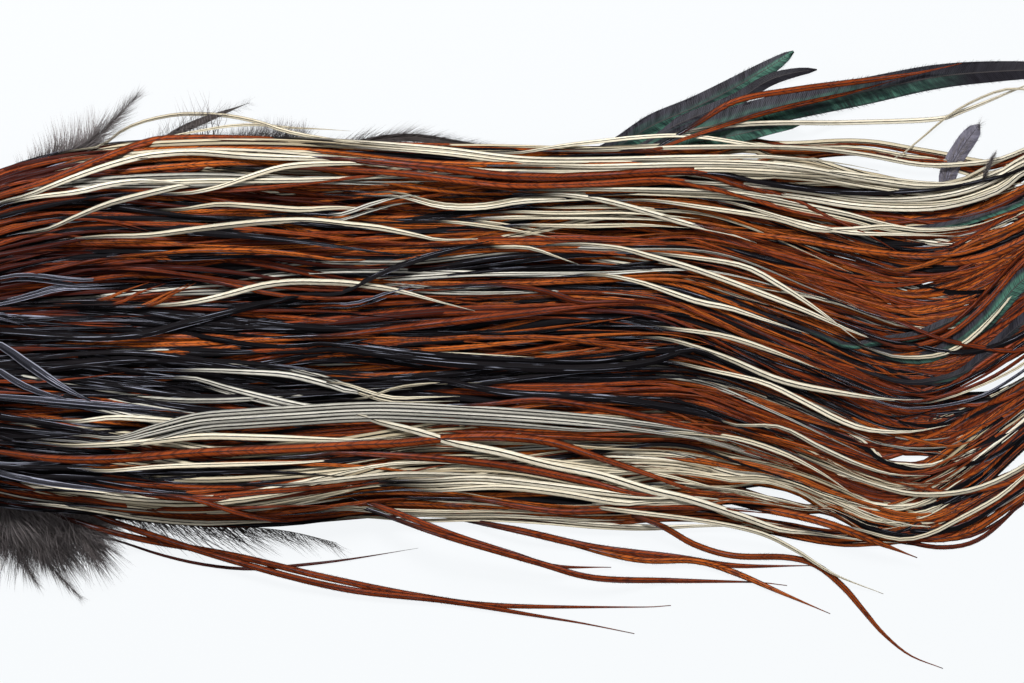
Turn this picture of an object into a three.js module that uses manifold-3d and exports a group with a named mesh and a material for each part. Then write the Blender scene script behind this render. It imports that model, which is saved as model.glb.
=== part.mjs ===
// A rooster saddle: the dried skin of a cockerel's lower back with its hackles still in it, lying flat.
// The skin is at the low-X end. Long narrow feathers grow from it in overlapping ranks and sweep towards +X,
// where they sag towards -Y and then curl up towards +Y. They hang together in locks, which are joined to the
// skin that they grow from, as the down at both its sides is. Feathers that stand apart are solids of their
// own: loose hackles along both edges, webby green feathers along the +Y edge, and downy body feathers.
// Millimetres, +Z up. The origin is the middle of the skin's flat underside, which rests on Z = 0.
import * as THREE from "three";
import { mergeVertices } from "three/addons/utils/BufferGeometryUtils.js";
import ManifoldModule from "manifold-3d";

// Driving dimensions
const SKIN_LENGTH = 96;
const SKIN_WIDTH = 112;
const SKIN_THICKNESS = 1.8;
const SKIN_EDGE_POINTS = 40;
const ROOT_HEIGHT = 0.6; // the underside of a lock where it roots in the skin
const ROOT_RUN = 5; // along which it comes up out of the skin
const ROOT_GATHER = 0.94; // how much nearer the middle it is there
const AIR = 0.4; // left between a lock or feather and what it lies on
const STEEPEST_CLIMB = 0.5; // how fast a feather climbs onto what is under it, towards its tip
const STEEPEST_DROP = 0.16; // and how fast it drops off it
const LIFTING_PASSES = 12;
const STRAY_THICKNESS = 0.9;
const DOWNY_THICKNESS = 1.4;
const GREEN_THICKNESS = 0.9;

// The flow of the whole saddle: at each X, the Y of its upper edge, its middle and its lower edge.
const FLOW = [
  [-48, 21, 0, -21],
  [-20, 36, 0, -35],
  [8, 47.5, 1, -44.5],
  [20, 53, 1, -47.5],
  [45, 59, 1, -50],
  [75, 61, 1, -53],
  [105, 61, 2, -53],
  [135, 59.5, 3, -50],
  [165, 59, 4, -51],
  [195, 59, 5, -53],
  [222, 59.5, 3.5, -52],
  [250, 59.5, -7.5, -53],
  [268, 58.5, -15, -56],
  [286, 55.5, -21.5, -58.5],
  [298, 54.5, -21, -57],
  [311, 55, -15.5, -49],
  [324, 58.5, -6.5, -40],
  [340, 66, 6, -26.5],
  [358, 78, 22, -10],
  [376, 92, 39, 8],
];

// Each rank of locks, from the table up. root is where its feathers root in the skin, tips is how far its
// longest locks reach and scatter how much shorter others are. drift is how far the rank crosses the flow
// between root and tip, as a share of the saddle's width, towards the lower edge or away from it.
const RANKS = [
  { count: 14, root: 12, tips: 374, scatter: 34, thickness: 2.7, drift: 0, steps: 17 },
  { count: 13, root: -2, tips: 346, scatter: 74, thickness: 2.5, drift: 0.03, steps: 16 },
  { count: 11, root: -14, tips: 284, scatter: 92, thickness: 2.3, drift: -0.05, steps: 13 },
  { count: 7, root: -25, tips: 176, scatter: 92, thickness: 2.0, drift: 0.06, steps: 10 },
  { count: 5, root: -36, tips: 44, scatter: 22, thickness: 1.8, drift: 0, steps: 8 },
];
const LOCK_SHARE = 0.46; // half the width of a lock, as a share of the room that it has in its rank
const LOCK_UNEVENNESS = 0.22; // how far the border between two locks is off its place, as a share of a lock
const SWAY_LENGTH = 150; // from one bend of a lock to the next like it
const ROOTS_END = 36; // X up to which locks climb over each other's roots
const ROOT_DETAIL = 3.2; // how much closer together the rings of a lock are there
const CURL_START = 240; // X past which the locks sag and curl
const CURL_DETAIL = 2.2; // and how much closer together their rings are there
const SHORTEST_TIP = 7; // from the last ring to the tip

// Colours, from the feathers that show most of each
const FINISHES = {
  saddle: { color: 0x8c5a3c, roughness: 0.55 },
  furnace: { color: 0x8a3413, roughness: 0.5 },
  badger: { color: 0xd8c9a2, roughness: 0.55 },
  green: { color: 0x2f4a42, roughness: 0.4 },
  down: { color: 0x4d4541, roughness: 0.95 },
};

// Directions on the table
const ALONG_X = new THREE.Vector2(1, 0);
const UP_Y = new THREE.Vector2(0, 1);
const DOWN_Y = new THREE.Vector2(0, -1);

// Down that grows from both sides of the skin
const DOWN_TUFTS = {
  upper_down: {
    heading: UP_Y,
    route: [[26, 37], [30, 50], [35, 60], [40, 69]],
    halfWidth: 9,
    thickness: 2.0,
  },
  lower_down: {
    heading: DOWN_Y,
    route: [[22, -33], [24, -48], [27, -62], [32, -77]],
    halfWidth: 15,
    thickness: 2.2,
  },
};

// Downy body feathers that come out from under both edges
const DOWNY_FEATHERS = {
  downy_feather_1: {
    route: [[34, 53], [43, 58.5], [50, 66], [58, 76]],
    halfWidth: 3.2,
  },
  downy_feather_2: {
    route: [[58, 57], [68, 63.5], [78, 68], [91, 73]],
    halfWidth: 4.6,
  },
  downy_feather_3: {
    route: [[104, 55], [120, 60], [138, 62.5], [156, 60.5], [174, 58]],
    halfWidth: 4.2,
  },
  downy_feather_4: {
    route: [[44, -46], [62, -53], [82, -56.5], [104, -60], [125, -60]],
    halfWidth: 5.4,
  },
  downy_feather_5: {
    heading: UP_Y,
    route: [[300, 44], [302, 53], [307, 61], [312, 68]],
    halfWidth: 4.0,
  },
};

// Webby green-black feathers that come out from under the upper edge
const GREEN_FEATHERS = {
  green_feather_1: {
    route: [[190, 55], [202, 60], [213, 66.5], [225, 71.5], [237, 77.5], [249, 84.5], [255, 88.5]],
    halfWidth: 3.6,
  },
  green_feather_2: {
    route: [[201, 56], [219, 66], [237, 73.5], [247, 79.5], [255, 82], [262, 83]],
    halfWidth: 2.4,
  },
  green_feather_3: {
    route: [[206, 56], [220, 62], [237, 67.5], [255, 71.5], [276, 76], [296, 80.5], [312, 82.5], [332, 83],
      [346, 81]],
    halfWidth: 4.4,
  },
  green_feather_4: {
    route: [[204, 55], [222, 60], [237, 63], [248, 65.5], [257, 66.5]],
    halfWidth: 2.8,
  },
};

// Loose hackles that lie on the table, under the locks
const FLOOR_STRAYS = {
  stray_hackle_01: {
    route: [[12, -43], [33, -51], [57, -58], [87, -63.5], [114, -70], [141, -75.5], [165, -78.5], [207, -79],
      [218, -78.5]],
  },
  stray_hackle_02: {
    route: [[18, -39], [36, -47.5], [63, -57.5], [90, -66], [120, -73.5], [150, -77], [177, -81.5], [192, -84],
      [207, -87]],
  },
  stray_hackle_03: {
    kind: "badger",
    route: [[207, 61], [225, 64.5], [243, 66.5], [270, 67], [297, 68], [306, 70.5], [322, 77], [336, 83]],
    halfWidth: 1.3,
  },
  stray_hackle_04: {
    route: [[276, -55], [288, -59], [300, -61], [311, -58.5], [322, -49], [334, -36]],
    halfWidth: 1.1,
  },
};

// Loose hackles that lie on the locks where they start
const TOP_STRAYS = {
  stray_hackle_05: {
    route: [[114, -43], [135, -50], [153, -57], [171, -63], [183, -66.5], [200, -67]],
  },
  stray_hackle_06: {
    route: [[120, -47], [150, -57], [177, -65], [195, -70], [219, -71], [243, -71.5], [253, -72.5]],
  },
  stray_hackle_07: {
    route: [[147, -51], [171, -55.5], [195, -61], [219, -64], [237, -66.5], [261, -66.5]],
  },
  stray_hackle_08: {
    route: [[180, -58], [207, -64.5], [225, -65], [237, -68.5], [252, -75], [266, -81]],
    halfWidth: 1.3,
  },
  stray_hackle_09: {
    route: [[192, -47], [213, -53.5], [225, -60], [237, -63.5], [253, -64], [262, -66.5], [270, -73], [276, -80],
      [282, -87], [290, -93.5], [300, -97.5]],
  },
  stray_hackle_10: {
    kind: "badger",
    route: [[180, -47], [222, -52], [243, -56], [255, -61.5], [267, -69], [282, -75]],
    halfWidth: 1.8,
  },
  stray_hackle_11: {
    route: [[234, -47], [261, -52.5], [279, -59], [292, -64]],
    halfWidth: 1.6,
  },
  stray_hackle_12: {
    route: [[213, 59], [225, 66], [237, 73], [255, 76.5], [273, 79], [290, 81.5], [305, 84.5]],
  },
};

// What a lock or feather is seen on end: flat below, its width from -1 to 1 and its height from 0 to 1
const SECTION = [[-0.7, 0], [0.7, 0], [1, 0.42], [0, 1], [-1, 0.42]];

// How the width and the thickness of each kind of piece change from its root (0) to its tip (1)
const smooth = (from, to, share) => THREE.MathUtils.smoothstep(share, from, to);
const PROFILES = {
  lock: {
    width: (s) => (0.5 + 0.5 * smooth(0, 0.16, s)) * (1 - 0.92 * smooth(0.7, 1, s)),
    thickness: (s) => (0.4 + 0.6 * smooth(0, 0.3, s)) * (1 - 0.78 * smooth(0.4, 1, s)),
  },
  stray: {
    width: (s) => (0.35 + 0.65 * smooth(0, 0.2, s)) * (1 - 0.9 * smooth(0.5, 1, s)),
    thickness: (s) => 1 - 0.6 * smooth(0.4, 1, s),
  },
  web: {
    width: (s) => (0.5 + 0.5 * smooth(0, 0.35, s)) * (1 - 0.85 * smooth(0.72, 1, s)),
    thickness: (s) => 1 - 0.6 * smooth(0.5, 1, s),
  },
  tuft: {
    width: (s) => (0.75 + 0.25 * smooth(0, 0.35, s)) * (1 - 0.72 * smooth(0.4, 1, s)),
    thickness: (s) => (0.5 + 0.5 * smooth(0, 0.4, s)) * (1 - 0.75 * smooth(0.45, 1, s)),
  },
};

/** The heights of everything laid so far, on a fine square grid over the table. */
class Pile {
  constructor() {
    this.cell = 0.25;
    this.low = new THREE.Vector2(-60, -110);
    this.high = new THREE.Vector2(400, 120);
    this.columns = Math.ceil((this.high.x - this.low.x) / this.cell);
    this.rows = Math.ceil((this.high.y - this.low.y) / this.cell);
    this.heights = new Float32Array(this.columns * this.rows);
  }

  index(point) {
    const column = Math.floor((point.x - this.low.x) / this.cell);
    const row = Math.floor((point.y - this.low.y) / this.cell);
    return row * this.columns + column;
  }

  /** Calls visit(point, across, along) over the ground under one strip, between ring i and the next. */
  overStrip(rings, i, visit) {
    const [from, to] = [rings[i], rings[i + 1]];
    const spacing = 0.8 * this.cell;
    const alongSteps = Math.ceil(from.centre.distanceTo(to.centre) / spacing) + 1;
    const acrossSteps = Math.ceil((2 * Math.max(from.halfWidth, to.halfWidth)) / spacing) + 1;
    const point = new THREE.Vector2();
    for (let a = 0; a <= alongSteps; a += 1) {
      const along = a / alongSteps;
      const halfWidth = THREE.MathUtils.lerp(from.halfWidth, to.halfWidth, along);
      for (let c = 0; c <= acrossSteps; c += 1) {
        const across = (2 * c) / acrossSteps - 1;
        point.lerpVectors(from.centre, to.centre, along).addScaledVector(from.side, across * halfWidth);
        visit(point, across, along);
      }
    }
  }

  /** What is under one strip: its highest point at each step along the strip, with the air over it. */
  underStrip(rings, i) {
    const steps = [];
    this.overStrip(rings, i, (point, across, along) => {
      const height = this.heights[this.index(point)];
      const clear = height > 0 ? height + AIR : 0;
      if (steps.at(-1)?.along === along) steps.at(-1).clear = Math.max(steps.at(-1).clear, clear);
      else steps.push({ along, clear });
    });
    return steps;
  }

  /** Raises the rings at both ends of a strip until the straight line between them clears what is under it. */
  clearStrip(from, to, steps) {
    const ceiling = Math.max(...steps.map(({ clear }) => clear));
    for (let pass = 0; pass < LIFTING_PASSES; pass += 1) {
      for (const { along, clear } of steps) {
        const missing = Math.max(0, clear - THREE.MathUtils.lerp(from.base, to.base, along));
        const lift = (ring, share) => {
          if (ring.base < ceiling) ring.base = Math.min(ceiling, ring.base + missing * share);
        };
        lift(from, 1 - along);
        lift(to, along);
      }
    }
    const stillUnder = ({ along, clear }) => THREE.MathUtils.lerp(from.base, to.base, along) < clear - AIR / 10;
    if (steps.some(stillUnder)) {
      from.base = Math.max(from.base, ceiling);
      to.base = Math.max(to.base, ceiling);
    }
  }

  /** Lifts a piece clear of what is under it, lets it climb and drop gently, and adds it to the pile. */
  lay(rings) {
    const firstStrip = rings[0].rooted ? 1 : 0;
    for (let i = firstStrip; i < rings.length - 1; i += 1) {
      this.clearStrip(rings[i], rings[i + 1], this.underStrip(rings, i));
    }
    const follow = (ring, neighbour, steepest) => {
      const fall = steepest * ring.centre.distanceTo(neighbour.centre);
      ring.base = Math.max(ring.base, neighbour.base - fall);
    };
    for (let i = 1; i < rings.length; i += 1) follow(rings[i], rings[i - 1], STEEPEST_DROP);
    for (let i = rings.length - 2; i >= 0; i -= 1) follow(rings[i], rings[i + 1], STEEPEST_CLIMB);
    if (rings[0].rooted) rings[0].base = ROOT_HEIGHT;
    for (let i = 0; i < rings.length - 1; i += 1) {
      const [from, to] = [rings[i], rings[i + 1]];
      this.overStrip(rings, i, (point, across, along) => {
        const top = THREE.MathUtils.lerp(from.base + from.thickness, to.base + to.thickness, along);
        const cell = this.index(point);
        this.heights[cell] = Math.max(this.heights[cell], top);
      });
    }
  }

  /** Marks the skin's footprint at its thickness. */
  addSkin(outline) {
    const points = outline.getPoints();
    const inside = (x, y) => {
      let odd = false;
      for (let i = 0, j = points.length - 1; i < points.length; j = i, i += 1) {
        const [p, q] = [points[i], points[j]];
        if (p.y > y !== q.y > y && x < ((q.x - p.x) * (y - p.y)) / (q.y - p.y) + p.x) odd = !odd;
      }
      return odd;
    };
    const point = new THREE.Vector2();
    for (point.x = -SKIN_LENGTH / 2; point.x <= SKIN_LENGTH / 2; point.x += this.cell) {
      for (point.y = -SKIN_WIDTH / 2; point.y <= SKIN_WIDTH / 2; point.y += this.cell) {
        if (inside(point.x, point.y)) this.heights[this.index(point)] = SKIN_THICKNESS;
      }
    }
  }
}

/** The skin's cut outline: a rounded shield with a slightly uneven edge. */
function skinOutline() {
  const points = [];
  for (let i = 0; i < SKIN_EDGE_POINTS; i += 1) {
    const turn = (2 * Math.PI * i) / SKIN_EDGE_POINTS;
    const uneven = 0.95 + 0.02 * Math.sin(3 * turn + 0.6) + 0.02 * Math.sin(7 * turn) + 0.01 * Math.cos(12 * turn);
    const squared = (value) => Math.sign(value) * Math.abs(value) ** 0.72;
    points.push(new THREE.Vector2(
      (SKIN_LENGTH / 2) * uneven * squared(Math.cos(turn)),
      (SKIN_WIDTH / 2) * uneven * squared(Math.sin(turn)) * (0.97 + 0.03 * Math.cos(turn)),
    ));
  }
  return new THREE.Shape(points);
}

function namedMesh(name, geometry, kind) {
  const mesh = new THREE.Mesh(geometry, new THREE.MeshStandardMaterial({ ...FINISHES[kind], metalness: 0 }));
  mesh.name = name;
  return mesh;
}

/** One ring of a lock or feather, square to heading and a share of the way from its root to its tip. */
function makeRing(centre, share, { heading, halfWidth, thickness, profile }) {
  return {
    centre,
    side: new THREE.Vector2(-heading.y, heading.x),
    halfWidth: halfWidth * profile.width(share),
    thickness: thickness * profile.thickness(share),
    base: 0,
  };
}

/** A closed solid through laid rings: an extruded section whose steps are moved onto the rings. */
function solidThrough(rings) {
  const steps = rings.length - 1;
  const shape = new THREE.Shape(SECTION.map(([across, up]) => new THREE.Vector2(across, up)));
  const geometry = new THREE.ExtrudeGeometry(shape, { depth: 1, steps, bevelEnabled: false });
  const position = geometry.getAttribute("position");
  for (let i = 0; i < position.count; i += 1) {
    const ring = rings[Math.round(position.getZ(i) * steps)];
    const shift = position.getX(i) * ring.halfWidth;
    position.setXYZ(
      i,
      ring.centre.x + shift * ring.side.x,
      ring.centre.y + shift * ring.side.y,
      ring.base + position.getY(i) * ring.thickness,
    );
  }
  return geometry;
}

/** Adds a ring at the root end of rings, sunk in the skin, so that the piece is joined to it. */
function rootInSkin(rings, heading) {
  const [first] = rings;
  const centre = first.centre.clone().addScaledVector(heading, -ROOT_RUN);
  centre.y *= ROOT_GATHER;
  return [{ ...first, centre, rooted: true }, ...rings];
}

/** The saddle's flow: Y at an X and a place across it, from 0 at the upper edge to 1 at the lower. */
function makeFlow() {
  const edges = new THREE.CubicInterpolant(
    FLOW.map(([x]) => x),
    FLOW.flatMap(([, ...across]) => across),
    3,
  );
  return (x, place) => {
    const [upper, middle, lower] = edges.evaluate(x);
    const toMiddle = THREE.MathUtils.lerp(upper, middle, 2 * place);
    const toLower = THREE.MathUtils.lerp(middle, lower, 2 * place - 1);
    return THREE.MathUtils.lerp(toMiddle, toLower, place);
  };
}

/** X with the stretches where the locks bend drawn out, so that even steps of it are short steps there. */
function drawOut(x) {
  const atRoots = Math.min(0, x - ROOTS_END);
  const inCurl = Math.max(0, x - CURL_START);
  return x + atRoots * (ROOT_DETAIL - 1) + inCurl * (CURL_DETAIL - 1);
}

/** The X that drawOut made this of. */
function drawIn(drawnOut) {
  const atRoots = Math.min(0, drawnOut - ROOTS_END);
  const inCurl = Math.max(0, drawnOut - CURL_START);
  return drawnOut - atRoots * (1 - 1 / ROOT_DETAIL) - inCurl * (1 - 1 / CURL_DETAIL);
}

/** The X of each ring of a lock. The locks of one rank share them, up to the tip of each. */
function ringPlaces(rank, tip) {
  const [from, to] = [drawOut(rank.root), drawOut(rank.tips)];
  const places = Array.from({ length: rank.steps }, (_, i) => (
    drawIn(THREE.MathUtils.lerp(from, to, i / rank.steps))
  ));
  return [...places.filter((x) => x < tip - SHORTEST_TIP), tip];
}

/** One lock of a rank. It fills its share of the room between its two borders, which bend as they go. */
function lockRings(flow, rank, number) {
  const tip = rank.tips - rank.scatter * (0.5 + 0.5 * Math.sin(3.9 * number + rank.root));
  const border = (x, count) => {
    const along = (x - rank.root) / (rank.tips - rank.root);
    const inside = Math.min(1, count) * Math.min(1, rank.count - count);
    const uneven = LOCK_UNEVENNESS * (
      Math.sin(7 * count + rank.root) + Math.sin((2 * Math.PI * x) / SWAY_LENGTH + 0.9 * count + rank.root)
    );
    const place = (count + inside * uneven) / rank.count;
    return flow(x, place + 4 * rank.drift * along * place * (1 - place));
  };
  const [from, to] = [drawOut(rank.root), drawOut(tip)];
  return ringPlaces(rank, tip).map((x) => {
    const upper = border(x, number);
    const lower = border(x, number + 1);
    const share = (drawOut(x) - from) / (to - from);
    return makeRing(new THREE.Vector2(x, (upper + lower) / 2), share, {
      heading: ALONG_X,
      halfWidth: LOCK_SHARE * (upper - lower),
      thickness: rank.thickness,
      profile: PROFILES.lock,
    });
  });
}

/** Rings of a feather or tuft along a route of its own. */
function routeRings({ route, halfWidth, thickness, heading = ALONG_X }, profile, steps) {
  const curve = new THREE.SplineCurve(route.map(([x, y]) => new THREE.Vector2(x, y)));
  return curve.getSpacedPoints(steps).map((centre, i) => {
    const squareness = Math.abs(curve.getTangentAt(i / steps).dot(heading));
    const seenWidth = halfWidth / Math.max(0.5, squareness);
    return makeRing(centre, i / steps, { heading, halfWidth: seenWidth, thickness, profile });
  });
}

/** Lays feathers that stand apart, each along its own route, and returns their meshes. */
function layFeathers(pile, set, { profile, steps, ...form }) {
  return Object.entries(set).map(([name, own]) => {
    const feather = { ...form, ...own };
    const rings = routeRings(feather, profile, steps);
    pile.lay(rings);
    return namedMesh(name, solidThrough(rings), feather.kind);
  });
}

/** Lays the down at both sides of the skin and returns its solids. */
function layDown(pile) {
  return Object.values(DOWN_TUFTS).map((tuft) => {
    const rings = rootInSkin(routeRings(tuft, PROFILES.tuft, 6), tuft.heading);
    pile.lay(rings);
    return solidThrough(rings);
  });
}

/** Lays every rank of locks, from the table up, and returns their solids. */
function layLocks(pile, flow) {
  return RANKS.flatMap((rank) => Array.from({ length: rank.count }, (_, number) => {
    const rings = rootInSkin(lockRings(flow, rank, number), ALONG_X);
    pile.lay(rings);
    return solidThrough(rings);
  }));
}

/** Joins closed geometries into one. */
async function joinSolids(geometries) {
  const wasm = await ManifoldModule();
  wasm.setup();
  const solids = geometries.map((geometry) => {
    geometry.deleteAttribute("normal");
    geometry.deleteAttribute("uv");
    const merged = mergeVertices(geometry, 1e-4);
    return new wasm.Manifold(new wasm.Mesh({
      numProp: 3,
      vertProperties: new Float32Array(merged.getAttribute("position").array),
      triVerts: new Uint32Array(merged.index.array),
    }));
  });
  const joined = solids.reduce((whole, solid) => whole.add(solid)).getMesh();
  const geometry = new THREE.BufferGeometry();
  geometry.setAttribute("position", new THREE.BufferAttribute(joined.vertProperties, 3));
  geometry.setIndex(new THREE.BufferAttribute(joined.triVerts, 1));
  geometry.computeVertexNormals();
  return geometry;
}

async function makeSaddle() {
  const pile = new Pile();
  const flow = makeFlow();
  const outline = skinOutline();
  const skin = new THREE.ExtrudeGeometry(outline, { depth: SKIN_THICKNESS, bevelEnabled: false });
  pile.addSkin(outline);

  const downyForm = { profile: PROFILES.tuft, steps: 7, kind: "down", thickness: DOWNY_THICKNESS };
  const greenForm = { profile: PROFILES.web, steps: 9, kind: "green", thickness: GREEN_THICKNESS };
  const strayForm = {
    profile: PROFILES.stray,
    steps: 11,
    kind: "furnace",
    thickness: STRAY_THICKNESS,
    halfWidth: 1.5,
  };
  const down = layDown(pile);
  const underneath = [
    ...layFeathers(pile, DOWNY_FEATHERS, downyForm),
    ...layFeathers(pile, FLOOR_STRAYS, strayForm),
    ...layFeathers(pile, GREEN_FEATHERS, greenForm),
  ];
  const locks = layLocks(pile, flow);
  const onTop = layFeathers(pile, TOP_STRAYS, strayForm);

  const saddle = new THREE.Group();
  saddle.add(
    namedMesh("saddle", await joinSolids([skin, ...down, ...locks]), "saddle"),
    ...underneath,
    ...onTop,
  );
  return saddle;
}

export default await makeSaddle();
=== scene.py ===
"""The looks of a rooster saddle: a dried patch of skin with its hackles, green feathers and down, lying flat.

Lengths are in metres in the finished meshes. Routes and sizes of feathers are in millimetres, in the part's
own frame: +X along the feathers, +Y across the saddle, +Z up, the origin under the middle of the skin.
"""

import logging
import math
from collections.abc import Callable
from dataclasses import dataclass
from enum import Enum

import bpy
import numpy as np
from bpy.types import Material, Mesh, Node, NodeSocket, NodeTree, Object
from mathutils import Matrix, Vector
from mathutils.bvhtree import BVHTree

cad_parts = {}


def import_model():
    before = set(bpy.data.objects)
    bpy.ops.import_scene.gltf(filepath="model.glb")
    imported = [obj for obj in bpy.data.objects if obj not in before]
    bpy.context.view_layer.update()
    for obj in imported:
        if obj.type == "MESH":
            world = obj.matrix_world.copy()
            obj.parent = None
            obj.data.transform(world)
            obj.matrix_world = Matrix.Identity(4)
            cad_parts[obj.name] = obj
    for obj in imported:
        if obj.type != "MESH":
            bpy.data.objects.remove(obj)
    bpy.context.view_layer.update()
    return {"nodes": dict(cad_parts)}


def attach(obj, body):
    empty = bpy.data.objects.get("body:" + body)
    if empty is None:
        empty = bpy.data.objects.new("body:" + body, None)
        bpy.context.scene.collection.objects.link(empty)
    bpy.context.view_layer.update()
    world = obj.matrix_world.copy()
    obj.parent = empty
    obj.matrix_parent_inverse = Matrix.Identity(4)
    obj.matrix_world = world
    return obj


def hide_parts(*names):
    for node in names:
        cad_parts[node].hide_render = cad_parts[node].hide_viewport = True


Pair = tuple[float, float]
Triple = tuple[float, float, float]
Colour = Triple

log = logging.getLogger("saddle")

MM = 0.001
SEED = 41
LAYER_STATIONS = 12000  # in one piece, so that it stays under 200,000 triangles
OFF_TABLE = 0.00004  # metres; no piece goes lower, so that none meets the floor
DOWN = Vector((0, 0, -1))
OVERHEAD = 1.0  # metres, where rays start that look down on a solid

PILE_BLUR = 2  # cells of the grid over which the solids' heights are softened
WIDE_VANE = 2.0  # wider vanes of downy feathers, in millimetres, are webby and blunt

# From barb to barb, in millimetres
PILE_BARBS = 2.4
STRAY_BARBS = 0.6
WEB_BARBS = 0.4

# The photograph's frame on the table
PIXEL = 0.30  # millimetres
PIXEL_ORIGIN = (-55.0, 345.0)
PHOTO_SIZE = (1024, 683)
CURVE_STEPS = 12  # between two points of a traced route

# The flow of the whole saddle: at each X, the Y of its upper edge, its middle and its lower edge
FLOW = np.array([
    (-48, 21, 0, -21), (-20, 36, 0, -35), (8, 47.5, 1, -44.5), (20, 53, 1, -47.5), (45, 59, 1, -50),
    (75, 61, 1, -53), (105, 61, 2, -53), (135, 59.5, 3, -50), (165, 59, 4, -51), (195, 59, 5, -53),
    (222, 59.5, 3.5, -52), (250, 59.5, -7.5, -53), (268, 58.5, -15, -56), (286, 55.5, -21.5, -58.5),
    (298, 54.5, -21, -57), (311, 55, -15.5, -49), (324, 58.5, -6.5, -40), (340, 66, 6, -26.5),
    (358, 78, 22, -10), (376, 92, 39, 8),
], dtype=float)


class Kind(Enum):
    """The kinds of feather, by their markings."""

    FURNACE = "furnace"
    BADGER = "badger"
    BLACK = "black"
    GRIZZLE = "grizzle"
    BEETLE = "beetle"
    # dark hackles whose pale edges and glints are painted highlights
    SILVER = "silver"


def by_node(operation: str) -> Callable[..., "Signal"]:
    """A Python operator between signals and numbers, done by one Math node."""
    return lambda signal, *others: signal.maths(operation, *others)


class Signal:
    """An output socket that Python expressions can be written with; each operator adds its Math node."""

    def __init__(self, board: "Board", socket: NodeSocket) -> None:
        """Wraps a socket of a board's tree."""
        self.board = board
        self.socket = socket

    def other(self, name: str) -> "Signal":
        """Another output of the same node."""
        return Signal(self.board, self.socket.node.outputs[name])

    def maths(self, operation: str, *values: "Signal | float") -> "Signal":
        """One Math node on this signal and up to two more values."""
        inputs = dict(enumerate((self, *values)))
        return self.board.put("ShaderNodeMath", {"operation": operation}, inputs)

    def __rsub__(self, other: float) -> "Signal":
        """A number less this signal."""
        return self.board.put("ShaderNodeMath", {"operation": "SUBTRACT"}, {0: other, 1: self})

    __add__ = __radd__ = by_node("ADD")
    __mul__ = __rmul__ = by_node("MULTIPLY")
    __sub__ = by_node("SUBTRACT")
    __gt__ = by_node("GREATER_THAN")
    __lt__ = by_node("LESS_THAN")
    __abs__ = by_node("ABSOLUTE")

    def wave(self) -> "Signal":
        """An even swing from 0 to 1 and back for each whole number."""
        return (self * (2 * math.pi)).maths("SINE") * 0.5 + 0.5

    def rise(self, low: "Signal | float", high: "Signal | float") -> "Signal":
        """0 below low, 1 above high and a smooth rise between them."""
        inputs = {0: self, 1: low, 2: high, 3: 0.0, 4: 1.0}
        return self.board.put("ShaderNodeMapRange", {"interpolation_type": "SMOOTHSTEP"}, inputs)


Value = Signal | float


class Board:
    """A node tree and the one way that nodes are put on it."""

    def __init__(self, tree: NodeTree) -> None:
        """Works on a tree of a material or of Geometry Nodes."""
        self.tree = tree

    def put(
        self,
        kind: str,
        settings: dict[str, object] | None = None,
        inputs: dict[int | str, object] | None = None,
        out: int | str | None = None,
    ) -> Signal | None:
        """Adds one node.

        Args:
            kind: the node's type.
            settings: its properties, which are set first.
            inputs: a value or a Signal for each input, by place, identifier or name.
            out: the output that is wanted, by place or name; the first enabled one if left out.

        Returns:
            The output as a Signal, or None for a node without outputs.
        """
        node = self.tree.nodes.new(kind)
        for name, value in (settings or {}).items():
            setattr(node, name, value)
        for key, value in (inputs or {}).items():
            socket = self._input(node, key)
            if isinstance(value, Signal):
                self.tree.links.new(value.socket, socket)
            else:
                socket.default_value = value
        if not node.outputs:
            return None
        if out is None:
            return Signal(self, next(s for s in node.outputs if s.enabled))
        return Signal(self, node.outputs[out])

    @staticmethod
    def _input(node: Node, key: int | str) -> NodeSocket:
        """The input of a node by place, identifier or name.

        Args:
            node: the node.
            key: which input.

        Returns:
            The input.
        """
        if isinstance(key, int):
            return node.inputs[key]
        by_identifier = [s for s in node.inputs if s.identifier == key]
        return by_identifier[0] if by_identifier else node.inputs[key]


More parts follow.
